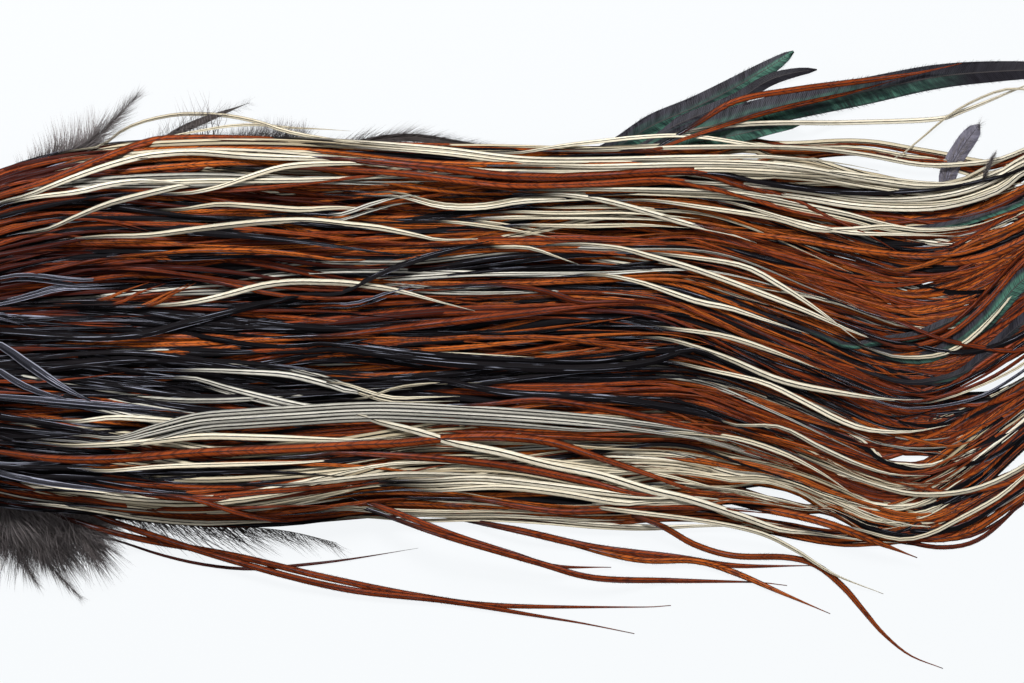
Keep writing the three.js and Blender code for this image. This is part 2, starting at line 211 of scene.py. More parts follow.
class Paint(Board):
    """The node tree of a material, with the few patterns that the finishes share."""

    def __init__(self, name: str) -> None:
        """Makes an empty material of that name.

        Args:
            name: the material's name.
        """
        self.material = bpy.data.materials.new(name)
        self.material.use_nodes = True
        self.material.node_tree.nodes.clear()
        super().__init__(self.material.node_tree)

    def stored(self, *names: str) -> list[Signal]:
        """Numbers stored on the mesh."""
        return [self.put("ShaderNodeAttribute", {"attribute_name": name}, out="Fac") for name in names]

    def place(self) -> Signal:
        """The place on the part, in metres."""
        return self.put("ShaderNodeTexCoord", out="Object")

    def noise(self, place: Signal, scale: float, detail: float = 2.0) -> Signal:
        """Soft noise, from about 0 to 1."""
        return self.put("ShaderNodeTexNoise", {}, {"Vector": place, "Scale": scale, "Detail": detail}, "Fac")

    def grain(self, along: tuple[Signal, ...], rates: tuple[float, ...], detail: float) -> Signal:
        """Soft noise over three numbers, each at its own rate."""
        rated = {place: number * rate for place, (number, rate) in enumerate(zip(along, rates))}
        return self.noise(self.put("ShaderNodeCombineXYZ", {}, rated), 1.0, detail)

    def blend(self, share: Value, first: object, second: object) -> Signal:
        """A colour from first to second as share goes from 0 to 1."""
        colours = {0: share, 6: self._colour(first), 7: self._colour(second)}
        return self.put("ShaderNodeMix", {"data_type": "RGBA"}, colours, 2)

    @staticmethod
    def _colour(value: object) -> object:
        """A colour with its fourth number, or the Signal as it is."""
        return value if isinstance(value, Signal) else (*value, 1.0)

    def finish(
        self,
        colour: Signal,
        roughness: Value,
        height: Signal | None = None,
        depth: float = 0.0001,
        **constants: float,
    ) -> Material:
        """Ends the tree in one shader.

        Args:
            colour: the base colour.
            roughness: how dull it is.
            height: relief from 0 to 1, or None.
            depth: how deep the relief is.
            **constants: further shader sockets, with _ for each space of their names.

        Returns:
            The material.
        """
        inputs: dict[int | str, object] = {"Base Color": colour, "Roughness": roughness}
        inputs |= {name.replace("_", " "): value for name, value in constants.items()}
        if height is not None:
            relief = {"Height": height, "Distance": depth, "Strength": 1.0}
            inputs["Normal"] = self.put("ShaderNodeBump", {}, relief)
        shader = self.put("ShaderNodeBsdfPrincipled", {}, inputs)
        self.put("ShaderNodeOutputMaterial", {}, {"Surface": shader})
        return self.material


class Growth(Board):
    """A Geometry Nodes tree that grows a finished mesh out of the centre lines of feathers."""

    def __init__(self, name: str, sizes: dict[str, str]) -> None:
        """Makes a tree with a geometry input and one named input for each size.

        Args:
            name: the tree's name.
            sizes: the socket type of each named input.
        """
        group = bpy.data.node_groups.new(name, "GeometryNodeTree")
        super().__init__(group)
        for way in ("INPUT", "OUTPUT"):
            group.interface.new_socket("Geometry", in_out=way, socket_type="NodeSocketGeometry")
        self.identifiers = {
            label: group.interface.new_socket(label, in_out="INPUT", socket_type=kind).identifier
            for label, kind in sizes.items()
        }
        self.source = self.put("NodeGroupInput")

    def stored(self, name: str) -> Signal:
        """A number stored on the geometry."""
        attribute = ("GeometryNodeInputNamedAttribute", {"data_type": "FLOAT"}, {"Name": name})
        return self.put(*attribute, "Attribute")

    def shape(self, label: str) -> Signal:
        """The geometry of the object in a named input."""
        return self.put("GeometryNodeObjectInfo", {}, {"Object": self.source.other(label)}, "Geometry")

    def chance(self, limits: Pair, seed: int) -> Signal:
        """A random number between two limits for each element."""
        inputs = {"Min_001": limits[0], "Max_001": limits[1], "Seed": seed}
        return self.put("FunctionNodeRandomValue", {"data_type": "FLOAT"}, inputs)

    def curves(self) -> Signal:
        """The centre lines as curves, with their normals level."""
        curve = self.put("GeometryNodeMeshToCurve", {}, {"Mesh": self.source})
        return self.put("GeometryNodeSetCurveNormal", {"mode": "Z_UP"}, {"Curve": curve})

    def swept(self, curve: Signal, profile: Signal, size: Signal) -> Signal:
        """A closed mesh of one section along a curve."""
        inputs = {"Curve": curve, "Profile Curve": profile, "Scale": size, "Fill Caps": True}
        return self.put("GeometryNodeCurveToMesh", {}, inputs)

    def stations(self, curve: Signal, spacing: str) -> tuple[Signal, Signal]:
        """Points at even distances along a curve, and the turn that lays the X axis along it at each.

        Args:
            curve: the curve.
            spacing: the named input with the distance.

        Returns:
            The points and the turn.
        """
        every = {"Curve": curve, "Length": self.source.other(spacing)}
        points = self.put("GeometryNodeCurveToPoints", {"mode": "LENGTH"}, every)
        axes = {"primary_axis": "X", "secondary_axis": "Y"}
        directions = {"Primary Axis": points.other("Tangent"), "Secondary Axis": points.other("Normal")}
        return points, self.put("FunctionNodeAxesToRotation", axes, directions)

    def end(self, *parts: Signal) -> None:
        """Joins the parts, realizes what is instanced, smooths it and gives it its material.

        Args:
            *parts: the geometry of each part.
        """
        join = self.tree.nodes.new("GeometryNodeJoinGeometry")
        for part in parts:
            self.tree.links.new(part.socket, join.inputs[0])
        joined = Signal(self, join.outputs[0])
        solid = self.put("GeometryNodeRealizeInstances", {}, {"Geometry": joined})
        smooth = self.put("GeometryNodeSetShadeSmooth", {}, {"Geometry": solid})
        finish = {"Geometry": smooth, "Material": self.source.other("Material")}
        dressed = self.put("GeometryNodeSetMaterial", {}, finish)
        self.put("NodeGroupOutput", {}, {"Geometry": dressed})

    def grow(self, name: str, source: Object, values: dict[str, object]) -> Object:
        """Runs the tree on an object and keeps the result as a plain mesh.

        Args:
            name: the new piece's name.
            source: the object with the centre lines, which is used up.
            values: the value of each named input.

        Returns:
            The piece.
        """
        modifier = source.modifiers.new(name, "NODES")
        modifier.node_group = self.tree
        for label, value in values.items():
            modifier[self.identifiers[label]] = value
        depsgraph = bpy.context.evaluated_depsgraph_get()
        mesh = bpy.data.meshes.new_from_object(
            source.evaluated_get(depsgraph), preserve_all_data_layers=True, depsgraph=depsgraph
        )
        source.modifiers.remove(modifier)
        bpy.data.objects.remove(source)
        return place_mesh(name, mesh)


def place_mesh(name: str, mesh: Mesh) -> Object:
    """Puts a mesh in the scene as an object of that name.

    Args:
        name: the object's name.
        mesh: the mesh.

    Returns:
        The object.
    """
    piece = bpy.data.objects.new(name, mesh)
    mesh.name = name
    bpy.context.scene.collection.objects.link(piece)
    return piece


def store(mesh: Mesh, label: str, values: np.ndarray | list[float]) -> None:
    """Stores one number for each point of a mesh."""
    mesh.attributes.new(label, "FLOAT", "POINT").data.foreach_set("value", values)


def places_in(route: str) -> np.ndarray:
    """The points of a route that is written as "x,y x,y"."""
    return np.array([pair.split(",") for pair in route.split()], dtype=float)


def from_pixels(route: str) -> np.ndarray:
    """A route on the table from its pixels in the photograph."""
    x, y = places_in(route).T
    return np.column_stack(((x - PIXEL_ORIGIN[0]) * PIXEL, (PIXEL_ORIGIN[1] - y) * PIXEL))


def curve_through(points: np.ndarray, spacing: float) -> np.ndarray:
    """A smooth curve through points, as evenly spaced points.

    Args:
        points: what it goes through, one row each.
        spacing: the distance between the points that come back.

    Returns:
        The points along the curve.
    """
    padded = np.vstack((2 * points[0] - points[1], points, 2 * points[-1] - points[-2]))
    t = np.linspace(0, 1, CURVE_STEPS, endpoint=False)[:, None]
    pieces = []
    for a, b, c, d in zip(padded, padded[1:], padded[2:], padded[3:]):
        square = (2 * a - 5 * b + 4 * c - d) * t**2
        cube = (3 * b - a - 3 * c + d) * t**3
        pieces.append(0.5 * (2 * b + (c - a) * t + square + cube))
    return evenly(np.vstack((*pieces, points[-1:])), spacing)


def evenly(line: np.ndarray, spacing: float) -> np.ndarray:
    """The same line with points at even distances.

    Args:
        line: its points, one row each.
        spacing: the distance between the new ones.

    Returns:
        The new points.
    """
    steps = np.linalg.norm(np.diff(line[:, :2], axis=0), axis=1)
    along = np.concatenate(([0.0], np.cumsum(steps)))
    wanted = np.linspace(0, along[-1], max(3, int(along[-1] / spacing) + 1))
    return np.column_stack([np.interp(wanted, along, line[:, i]) for i in range(line.shape[1])])


def distances(line: np.ndarray) -> np.ndarray:
    """How far along a line each of its points is."""
    return np.concatenate(([0.0], np.cumsum(np.linalg.norm(np.diff(line[:, :2], axis=0), axis=1))))


def ease(low: float, high: float, value: np.ndarray) -> np.ndarray:
    """0 below low, 1 above high and a smooth rise between them."""
    share = np.clip((value - low) / (high - low), 0, 1)
    return share * share * (3 - 2 * share)


def softened(values: np.ndarray, reach: int) -> np.ndarray:
    """The mean of each value and of so many before and after it."""
    count = 2 * reach + 1
    return np.convolve(np.pad(values, reach, mode="edge"), np.ones(count) / count, mode="valid")


def sway(along: np.ndarray, length: float, phase: float) -> np.ndarray:
    """An even swing from -1 to 1 and back over each length."""
    return np.sin(2 * math.pi * (along / length + phase))


def solid_of(node: Object) -> BVHTree:
    """A node's solid, to look down on."""
    return BVHTree.FromPolygons([v.co for v in node.data.vertices], [p.vertices for p in node.data.polygons])


def top_of(solid: BVHTree, x: float, y: float) -> float | None:
    """How high a solid reaches at a point of the table in millimetres, or None beside it."""
    hit = solid.ray_cast(Vector((x * MM, y * MM, OVERHEAD)), DOWN)[0]
    return None if hit is None else hit.z / MM


class Flow:
    """Y at an X and a place across the saddle, from 0 at its upper edge to 1 at its lower."""

    BEYOND = 0.5  # how far it runs on past both ends, as a share of the span there
    PLACES = np.linspace(-0.05, 1.05, 221)

    def __init__(self) -> None:
        """Works out the slopes of the three lines of the flow."""
        self.x = FLOW[:, 0]
        self.y = FLOW[:, 1:]
        self.slopes = np.gradient(self.y, self.x, axis=0)
        self.slopes[1:-1] = (self.y[2:] - self.y[:-2]) / (self.x[2:] - self.x[:-2])[:, None]

    def at(self, x: np.ndarray, place: np.ndarray) -> np.ndarray:
        """Y of the flow.

        Args:
            x: where along the saddle.
            place: where across it.

        Returns:
            Y for each x and place.
        """
        i = np.clip(np.searchsorted(self.x, x) - 1, 0, len(self.x) - 2)
        span = self.x[i + 1] - self.x[i]
        t = np.clip((x - self.x[i]) / span, -self.BEYOND, 1 + self.BEYOND)[:, None]
        a, b = self.y[i], self.y[i + 1]
        da, db = self.slopes[i] * span[:, None], self.slopes[i + 1] * span[:, None]
        leaving = (2 * t**3 - 3 * t**2 + 1) * a + (t**3 - 2 * t**2 + t) * da
        upper, middle, lower = (leaving + (3 * t**2 - 2 * t**3) * b + (t**3 - t**2) * db).T
        first = upper + (middle - upper) * 2 * place
        second = middle + (lower - middle) * (2 * place - 1)
        return first + (second - first) * place

    def place_of(self, x: float, y: float) -> float:
        """The place across the flow of one point."""
        across = self.at(np.full(self.PLACES.shape, x), self.PLACES)
        return float(np.interp(-y, -across, self.PLACES))


class Ground:
    """How high the solids of some nodes reach, over a grid on the table, in millimetres."""

    CELL = 2.0
    LOW = (-62.0, -112.0)
    HIGH = (402.0, 122.0)
    LAST = 1.001  # a little over 1, so that the last cell still has a corner beyond it
    CLEAR = 1.1  # from the solids up to the centre line of a feather that lies over them
    REACH = 2  # how many points before and after a solid a feather already lies over it

    def __init__(self, nodes: list[Object], blur: float) -> None:
        """Looks down on the nodes and softens what it finds.

        Args:
            nodes: the solids.
            blur: over how many cells the heights are softened.
        """
        self.columns = int((self.HIGH[0] - self.LOW[0]) / self.CELL) + 1
        self.rows = int((self.HIGH[1] - self.LOW[1]) / self.CELL) + 1
        heights = np.zeros((self.rows, self.columns))
        for node in nodes:
            self._look_down(solid_of(node), heights)
        kernel = np.exp(-0.5 * (np.arange(-3 * blur, 3 * blur + 1) / blur) ** 2) if blur else np.ones(1)
        kernel /= kernel.sum()
        for axis in (0, 1):
            heights = np.apply_along_axis(lambda line: np.convolve(line, kernel, mode="same"), axis, heights)
        self.heights = heights

    def _look_down(self, solid: BVHTree, heights: np.ndarray) -> None:
        """Raises the grid to the top of one solid.

        Args:
            solid: the solid.
            heights: the grid, which is changed.
        """
        for row in range(self.rows):
            y = self.LOW[1] + row * self.CELL
            for column in range(self.columns):
                top = top_of(solid, self.LOW[0] + column * self.CELL, y)
                if top is not None:
                    heights[row, column] = max(heights[row, column], top)

    def at(self, line: np.ndarray) -> np.ndarray:
        """The height under each point of a line.

        Args:
            line: points on the table.

        Returns:
            The height under each.
        """
        u = np.clip((line[:, 0] - self.LOW[0]) / self.CELL, 0, self.columns - self.LAST)
        v = np.clip((line[:, 1] - self.LOW[1]) / self.CELL, 0, self.rows - self.LAST)
        i, j = u.astype(int), v.astype(int)
        fu, fv = u - i, v - j
        grid = self.heights
        low = grid[j, i] * (1 - fu) + grid[j, i + 1] * fu
        high = grid[j + 1, i] * (1 - fu) + grid[j + 1, i + 1] * fu
        return low * (1 - fv) + high * fv

    def over(self, line: np.ndarray) -> np.ndarray:
        """The height at which a feather lies over the solids under a line, and 0 beside them.

        Args:
            line: points on the table, in order.

        Returns:
            The height of the feather at each.
        """
        under = self.at(line)
        under = np.maximum.reduce([np.roll(under, shift) for shift in range(-self.REACH, self.REACH + 1)])
        return softened(under, 1) + self.CLEAR * (under > 0)


@dataclass
class Feather:
    """One feather: its centre line in millimetres, and at each point its half width and roll."""

    kind: Kind
    line: np.ndarray
    wide: np.ndarray
    roll: np.ndarray
    tone: float
    reach_from: float = 0.0  # the share of its length that is hidden before its line starts
    bare: float = 0.0  # the share of its length that has no free barbs


@dataclass(frozen=True)
class Taper:
    """How the half width of a feather changes from its root (0) to its tip (1)."""

    root: float = 0.55
    full_at: float = 0.12
    slims_from: float = 0.55
    tip: float = 0.06
    blunt: bool = False
    ENDS = 1.02  # where it would reach the tip's width
    HOLLOW = 1.2  # above 1 it slims faster and faster
    ROUND = 1.01  # a little over 1, so that a blunt tip isn't a point

    def widths(self, half_width: float, share: np.ndarray) -> np.ndarray:
        """The half width at each share of the length.

        Args:
            half_width: the feather's half width where it is full.
            share: shares of its length, from 0 to 1.

        Returns:
            The half width at each.
        """
        swell = self.root + (1 - self.root) * ease(0, self.full_at, share)
        slim = 1 - (1 - self.tip) * ease(self.slims_from, self.ENDS, share) ** self.HOLLOW
        if self.blunt:
            past = np.clip((share - self.slims_from) / (1 - self.slims_from), 0, 1)
            slim = np.sqrt(self.ROUND - past**2)
        return half_width * swell * slim


@dataclass(frozen=True)
class Blade:
    """The shape of a feather whose half width is 1: its section, and one of its pair of free barbs."""

    ridge: float = 0.3  # how high its shaft stands
    underside: float = 0.05
    barb_from: Triple = (0.0, 0.62, -0.07)  # its Z points down
    barb_to: Triple = (0.95, 1.2, 0.04)
    barb_thickness: float = 0.07

    def section(self) -> list[Pair]:
        """(across, height) round the blade seen on end."""
        return [(-1.0, 0.0), (0.0, self.ridge), (1.0, 0.0), (0.0, self.underside)]


WEB_BLADE = Blade(
    ridge=0.1, underside=0.01, barb_from=(0, 0.7, -0.02), barb_to=(0.4, 1.05, 0.0), barb_thickness=0.03,
)
STRAY_TAPER = Taper(root=0.45, full_at=0.25, slims_from=0.62, tip=0.12)
WEBBY_TAPER = Taper(root=0.5, full_at=0.3, slims_from=0.75, blunt=True)
SOFT_TAPER = Taper(root=0.2, full_at=0.45, slims_from=0.5, tip=0.02)


class Vanes:
    """Grows hackles from centre lines: a thin crowned blade with a ridge, and free barbs along both edges."""

    BARB_SIZES = (0.82, 1.16)
    SHARP = 0.45  # how far from half way between the shaft and an edge it is sharp, out of 0.5

    def __init__(self, blade: Blade) -> None:
        """Builds the section, the pair of barbs and the tree.

        Args:
            blade: the shape of its feathers.
        """
        self.blade = blade
        self.section = self._make_section()
        self.barbs = self._make_barbs()
        self.growth = self._make_growth()

    def _make_section(self) -> Object:
        """The blade's outline as a closed loop of edges.

        Returns:
            The loop.
        """
        section = self.blade.section()
        edges = [(i, (i + 1) % len(section)) for i in range(len(section))]
        mesh = bpy.data.meshes.new("section")
        mesh.from_pydata([(across, -up, 0) for across, up in section], edges, [])
        store(mesh, "across", [across for across, _ in section])
        return place_mesh("section", mesh)

    def _make_barbs(self) -> Object:
        """A pair of barbs, one to each side, as slim spikes.

        Returns:
            The pair.
        """
        points, faces, across = [], [], []
        thickness = self.blade.barb_thickness
        for side in (1, -1):
            start = Vector(self.blade.barb_from) * Vector((1, side, 1))
            end = Vector(self.blade.barb_to) * Vector((1, side, 1))
            ahead = (end - start).normalized()
            flat = ahead.cross(Vector((0, 0, 1))).normalized() * thickness
            a, b, c, tip = range(len(points), len(points) + 4)
            points += [start + flat, start - flat, start + Vector((0, 0, thickness)), end]
            faces += [(a, c, b), (a, b, tip), (b, c, tip), (c, a, tip)]
            across += [p.y for p in points[a:]]
        mesh = bpy.data.meshes.new("barbs")
        mesh.from_pydata(points, [], faces)
        store(mesh, "across", across)
        return place_mesh("barbs", mesh)

    def _make_growth(self) -> Growth:
        """The tree: curves, blade, barbs at even distances.

        Returns:
            The tree.
        """
        growth = Growth("hackle_vanes", {
            "Section": "NodeSocketObject",
            "Barbs": "NodeSocketObject",
            "Barb Spacing": "NodeSocketFloat",
            "Material": "NodeSocketMaterial",
        })
        put = growth.put
        curve = put("GeometryNodeSetCurveTilt", {}, {"Curve": growth.curves(), "Tilt": growth.stored("roll")})
        section = put("GeometryNodeMeshToCurve", {}, {"Mesh": growth.shape("Section")})
        wide = growth.stored("wide")
        blade = growth.swept(curve, section, wide)
        sharp = abs(abs(growth.stored("across")) - 0.5) > self.SHARP  # along both edges and the shaft
        marking = {"Geometry": blade, "Name": "sharp_edge", "Value": sharp}
        blade = put("GeometryNodeStoreNamedAttribute", {"data_type": "BOOLEAN", "domain": "EDGE"}, marking)
        points, turn = growth.stations(curve, "Barb Spacing")
        barbs = put("GeometryNodeInstanceOnPoints", {}, {
            "Points": points,
            "Selection": growth.stored("reach") > growth.stored("bare"),
            "Instance": growth.shape("Barbs"),
            "Rotation": turn,
            "Scale": wide * growth.chance(self.BARB_SIZES, SEED),
        })
        growth.end(blade, barbs)
        return growth

    def grow(
        self, name: str, feathers: list[Feather], material: Material, spacing: float
    ) -> Object:
        """Makes one piece of many feathers.

        Args:
            name: the piece's name.
            feathers: its feathers.
            material: its finish.
            spacing: the distance between barbs in millimetres.

        Returns:
            The piece.
        """
        return self.growth.grow(name, centre_lines(name, feathers), {
            "Section": self.section,
            "Barbs": self.barbs,
            "Barb Spacing": spacing * MM,
            "Material": material,
        })

    def clear_away(self) -> None:
        """Removes the two shapes that only the tree uses."""
        for shape in (self.section, self.barbs):
            bpy.data.objects.remove(shape)


def reached(feather: Feather, along: np.ndarray) -> np.ndarray:
    """The share of a feather's length at each of its points."""
    return feather.reach_from + (1 - feather.reach_from) * along / along[-1]


def centre_lines(name: str, feathers: list[Feather]) -> Object:
    """The centre lines of feathers as one object of edges.

    Args:
        name: the piece that they are for.
        feathers: the feathers.

    Returns:
        The object, with what varies along the feathers stored on its points.
    """
    counts = [len(f.line) for f in feathers]
    points = np.vstack([f.line for f in feathers]) * MM
    starts = np.concatenate(([0], np.cumsum(counts)))
    edges = np.vstack([
        np.column_stack((np.arange(first, first + n - 1), np.arange(first + 1, first + n)))
        for first, n in zip(starts, counts)
    ])
    mesh = bpy.data.meshes.new(name + "_lines")
    mesh.from_pydata(points.tolist(), edges.tolist(), [])
    along = [distances(f.line) for f in feathers]
    stored = {
        "wide": np.concatenate([f.wide for f in feathers]) * MM,
        "roll": np.concatenate([f.roll for f in feathers]),
        "mm": np.concatenate(along),
        "reach": np.concatenate([reached(f, a) for f, a in zip(feathers, along)]),
        "tone": np.repeat([f.tone for f in feathers], counts),
        "bare": np.repeat([f.bare for f in feathers], counts),
    }
    for label, values in stored.items():
        store(mesh, label, values.astype(np.float32))
    return place_mesh(name + "_lines", mesh)


@dataclass(frozen=True)
class HackleFinish:
    """The markings and gloss of one kind of hackle, with shade and highlights painted into its colour."""

    name: str
    dark: Colour
    middle: Colour
    light: Colour
    centre: Colour
    centre_width: float
    # edge: painted shade along both edges, where the next hackle would shadow the vane; on the black kind
    # with painted gleams, a painted highlight
    edge: Colour
    edge_strength: float = 0.9
    edge_from: float = 0.5
    streaks: float = 0.5
    fibres: float = 0.3
    web: Colour = (0.007, 0.006, 0.007)
    web_reach: float = 0.3
    # gleam: a painted highlight, lavender-white glints laid into the colour, mostly near the root
    gleam: Colour = (0.62, 0.65, 0.80)
    gleam_strength: float = 0.8
    glints: float = 0.12
    roughness: float = 0.42
    gloss: float = 0.035
    slot: str = "saddle"
    SLANT = 0.4  # of the barbs, against the shaft
    STREAKS = (0.035, 1.6, 71.0)  # how fast each pattern changes along, across and from hackle to hackle
    FIBRES = (4.5, 0.06, 37.0)
    GLINTS = (0.05, 3.8, 53.0)
    BARBS = (1.9, 1.8, 6.0)  # along, across and with the streaks
    BARB_SHADE = 0.16
    BARB_EDGE = 0.7  # how near its colour is to the painted edge colour
    BARB_DEPTH = 0.00003
    UNEVEN = 0.18  # how far the streaks move the end of the web, as a share of the length
    LINE_UNEVEN = 0.08
    WEB_FULL = 0.35  # it fades from this share of its reach on
    LINE_FULL = 0.6  # and the centre line from this share of its width on
    ROUGHER = 0.2
    # Where in the noise each pattern starts and where it is full
    STREAKED = (0.42, 0.72)
    FIBROUS = (0.5, 0.6)
    GLINTING = (0.635, 0.665)

    def paint(self) -> Material:
        """Builds the material.

        Returns:
            The material.
        """
        paint = Paint(self.name)
        across, reach, mm, tone = paint.stored("across", "reach", "mm", "tone")
        off = abs(across)
        low = paint.blend(tone.rise(0.0, 0.5), self.dark, self.middle)
        colour = paint.blend(tone.rise(0.5, 1.0), low, self.light)
        streak = paint.grain((mm, across, tone), self.STREAKS, 3.0)
        colour = paint.blend(streak.rise(*self.STREAKED) * self.streaks, colour, self.dark)
        fibre = paint.grain((off - mm * self.SLANT, mm, tone), self.FIBRES, 1.0)
        colour = paint.blend(fibre.rise(*self.FIBROUS) * self.fibres, colour, self.dark)
        along, aside, with_streaks = self.BARBS
        barb = (mm * along - off * aside + streak * with_streaks).wave()
        barb_shade = paint.blend(self.BARB_EDGE, self.dark, self.edge)
        colour = paint.blend(barb * self.BARB_SHADE, colour, barb_shade)
        # painted edge: shade along the edges on most kinds, a highlight on the black kind with painted gleams
        colour = paint.blend(off.rise(self.edge_from, 1.0) * self.edge_strength, colour, self.edge)
        out_of_web = reach + streak * self.UNEVEN - self.UNEVEN / 2
        near_root = 1.0 - out_of_web.rise(self.web_reach * self.WEB_FULL, self.web_reach)
        colour = paint.blend(near_root, colour, self.web)
        width = streak * self.LINE_UNEVEN + self.centre_width
        colour = paint.blend(1.0 - off.rise(width * self.LINE_FULL, width), colour, self.centre)
        # painted highlights: glints painted into the colour where barbs would catch the light
        glint = paint.grain((mm, across, tone), self.GLINTS, 2.0).rise(*self.GLINTING)
        gleam = glint * (near_root * (1.0 - self.glints) + self.glints) * (fibre * 0.5 + 0.6)
        colour = paint.blend(gleam * self.gleam_strength, colour, self.gleam)
        rough = streak * self.ROUGHER + (self.roughness - self.ROUGHER / 2)
        return paint.finish(colour, rough, barb, self.BARB_DEPTH, Specular_IOR_Level=self.gloss)


@dataclass(frozen=True)
class WebFinish:
    """Webby black feathers with a beetle-green sheen painted onto one vane."""

    name: str = "green_web"
    slot: str = "green"
    black: Colour = (0.011, 0.010, 0.013)
    # deep and bright are the two ends of the painted sheen
    deep: Colour = (0.009, 0.032, 0.026)
    bright: Colour = (0.075, 0.19, 0.14)
    shaft: Colour = (0.05, 0.045, 0.045)
    slate: Colour = (0.047, 0.046, 0.058)
    PATCHES = (0.03, 0.9, 31.0)  # how fast each pattern changes along, across and from feather to feather
    STREAKS = (0.5, 0.7, 17.0)
    FIBRES = (5.5, 0.08, 11.0)
    BARBS = (1.5, 4.5, 1.5)  # along, across and with the patches
    BARB_DEPTH = 0.00004
    SLANTS = (3.2, 0.7)  # of the streaks and of the fibres, against the shaft
    # From where to where each thing fades in, in its own measure
    ENDING = (0.66, 0.8)  # the dark tips of some feathers
    NO_ENDING = (0.58, 0.64)  # the tones without them
    LIT = (0.6, 1.0)
    DUSTY = (0.5, 0.9)
    GREEN = (0.75, 1.3)
    RIM = (0.8, 1.05)
    FIBROUS = (0.45, 0.65)
    OUT_OF_ROOT = (0.05, 0.3)
    OFF_SHAFT = (0.03, 0.06)
    # How strong each thing is
    FIBRE_SHADE = 0.75
    BARB_SHADE = 0.2
    LEAST_ROUGH = 0.3
    ROUGHER = 0.2
    GLOSS = 0.07

    def paint(self) -> Material:
        """Builds the material.

        Returns:
            The material.
        """
        paint = Paint(self.name)
        across, reach, mm, tone = paint.stored("across", "reach", "mm", "tone")
        off = abs(across)
        streak_slant, fibre_slant = self.SLANTS
        patch = paint.grain((mm, across, tone), self.PATCHES, 3.0)
        streak = paint.grain((mm - off * streak_slant, across, tone), self.STREAKS, 2.0)
        along, aside, with_patches = self.BARBS
        barb = (mm * along - off * aside + patch * with_patches).wave()
        ending = reach.rise(*self.ENDING) * (1.0 - tone.rise(*self.NO_ENDING))
        fine = paint.grain((off - mm * fibre_slant, mm, tone), self.FIBRES, 2.0)
        painted_sheen = paint.blend((patch + streak * 0.6).rise(*self.LIT), self.deep, self.bright)
        dusty = (fine * 0.9 + streak * 0.5).rise(*self.DUSTY) * (1.0 - ending * 0.7)
        dull = paint.blend(dusty, self.black, self.slate)
        # the painted sheen lies on one vane and stays off its rim
        side = (across * 0.6 + patch * 1.3 + tone * 0.7).rise(*self.GREEN) * (1.0 - ending)
        colour = paint.blend(side * (1.0 - off.rise(*self.RIM)), dull, painted_sheen)
        colour = paint.blend(fine.rise(*self.FIBROUS) * side * self.FIBRE_SHADE, colour, self.black)
        colour = paint.blend(barb * self.BARB_SHADE, colour, self.black)
        colour = paint.blend(1.0 - reach.rise(*self.OUT_OF_ROOT), colour, self.black)
        colour = paint.blend(1.0 - off.rise(*self.OFF_SHAFT), colour, self.shaft)
        rough = streak * self.ROUGHER + self.LEAST_ROUGH
        return paint.finish(colour, rough, barb, self.BARB_DEPTH, Specular_IOR_Level=self.GLOSS)


# the same webs in grey, whose lighter one-sided patch is a painted sheen too
GREY_WEB = WebFinish(
    "grey_web", "down", black=(0.06, 0.056, 0.07), deep=(0.13, 0.125, 0.16), bright=(0.24, 0.23, 0.29),
    slate=(0.2, 0.19, 0.24),
)

FINISHES = {
    Kind.FURNACE: HackleFinish(
        "furnace", dark=(0.045, 0.0065, 0.003), middle=(0.26, 0.046, 0.009), light=(0.50, 0.118, 0.016),
        centre=(0.03, 0.018, 0.018), centre_width=0.11, edge=(0.010, 0.003, 0.003), fibres=0.7,
    ),
    Kind.BADGER: HackleFinish(
        "badger", dark=(0.40, 0.32, 0.20), middle=(0.70, 0.63, 0.47), light=(0.87, 0.82, 0.68),
        centre=(0.006, 0.005, 0.004), centre_width=0.17,
        edge=(0.05, 0.037, 0.023), edge_strength=0.85, edge_from=0.72,
    ),
    Kind.BLACK: HackleFinish(
        "black", dark=(0.003, 0.0026, 0.003), middle=(0.005, 0.0042, 0.005), light=(0.009, 0.009, 0.012),
        centre=(0.012, 0.012, 0.014), centre_width=0.08, edge=(0.002, 0.002, 0.002), edge_strength=0.7,
        web_reach=1.15, gleam_strength=0.5, roughness=0.34, gloss=0.012,
    ),
    Kind.GRIZZLE: HackleFinish(
        "grizzle", dark=(0.16, 0.155, 0.14), middle=(0.44, 0.42, 0.36), light=(0.72, 0.69, 0.60),
        centre=(0.006, 0.005, 0.005), centre_width=0.22,
        edge=(0.012, 0.011, 0.011), edge_strength=0.95, edge_from=0.6, web_reach=0.25,
    ),
    # near-black hackles; their pale edge colour and dense glints are painted highlights
    Kind.SILVER: HackleFinish(
        "silver", dark=(0.003, 0.003, 0.004), middle=(0.006, 0.006, 0.009), light=(0.012, 0.012, 0.018),
        centre=(0.03, 0.03, 0.038), centre_width=0.08,
        edge=(0.42, 0.43, 0.53), edge_strength=1.0, edge_from=0.72,
        fibres=0.6, web_reach=0.05, gleam_strength=1.0, glints=0.8,
    ),
    Kind.BEETLE: WebFinish(),
}


@dataclass(frozen=True)
class Rank:
    """A rank of hackles, from the table up, in millimetres and in shares of the pile."""

    count: int
    root: float
    tips: float
    scatter: float  # how much earlier than the last tip the others end
    drift: float  # across the saddle, half way along
    order: Pair  # how high in the pile it lies
    lock: int  # how many hackles lie together
    half_widths: Pair
    slims_from: float = 0.55
    pale: float = 1.0  # how often its hackles are cream, next to what shows on top; fewer in the lower ranks keep the deep pile dark, partly as painted shade


@dataclass(frozen=True)
class Zone:
    """A soft patch of the saddle, in pixels of the photograph, where some kinds show more than elsewhere."""

    centre: Pair
    spread: Pair
    kinds: dict[Kind, float]


@dataclass(frozen=True)
class Traced:
    """A hackle that stands out in the photograph: kind, half width, tone, and its route in pixels.

    A star after the route says that its tip shows.
    """

    kind: Kind
    half_width: float
    tone: float
    route: str


F, B, K, G, E, S = Kind.FURNACE, Kind.BADGER, Kind.BLACK, Kind.GRIZZLE, Kind.BEETLE, Kind.SILVER

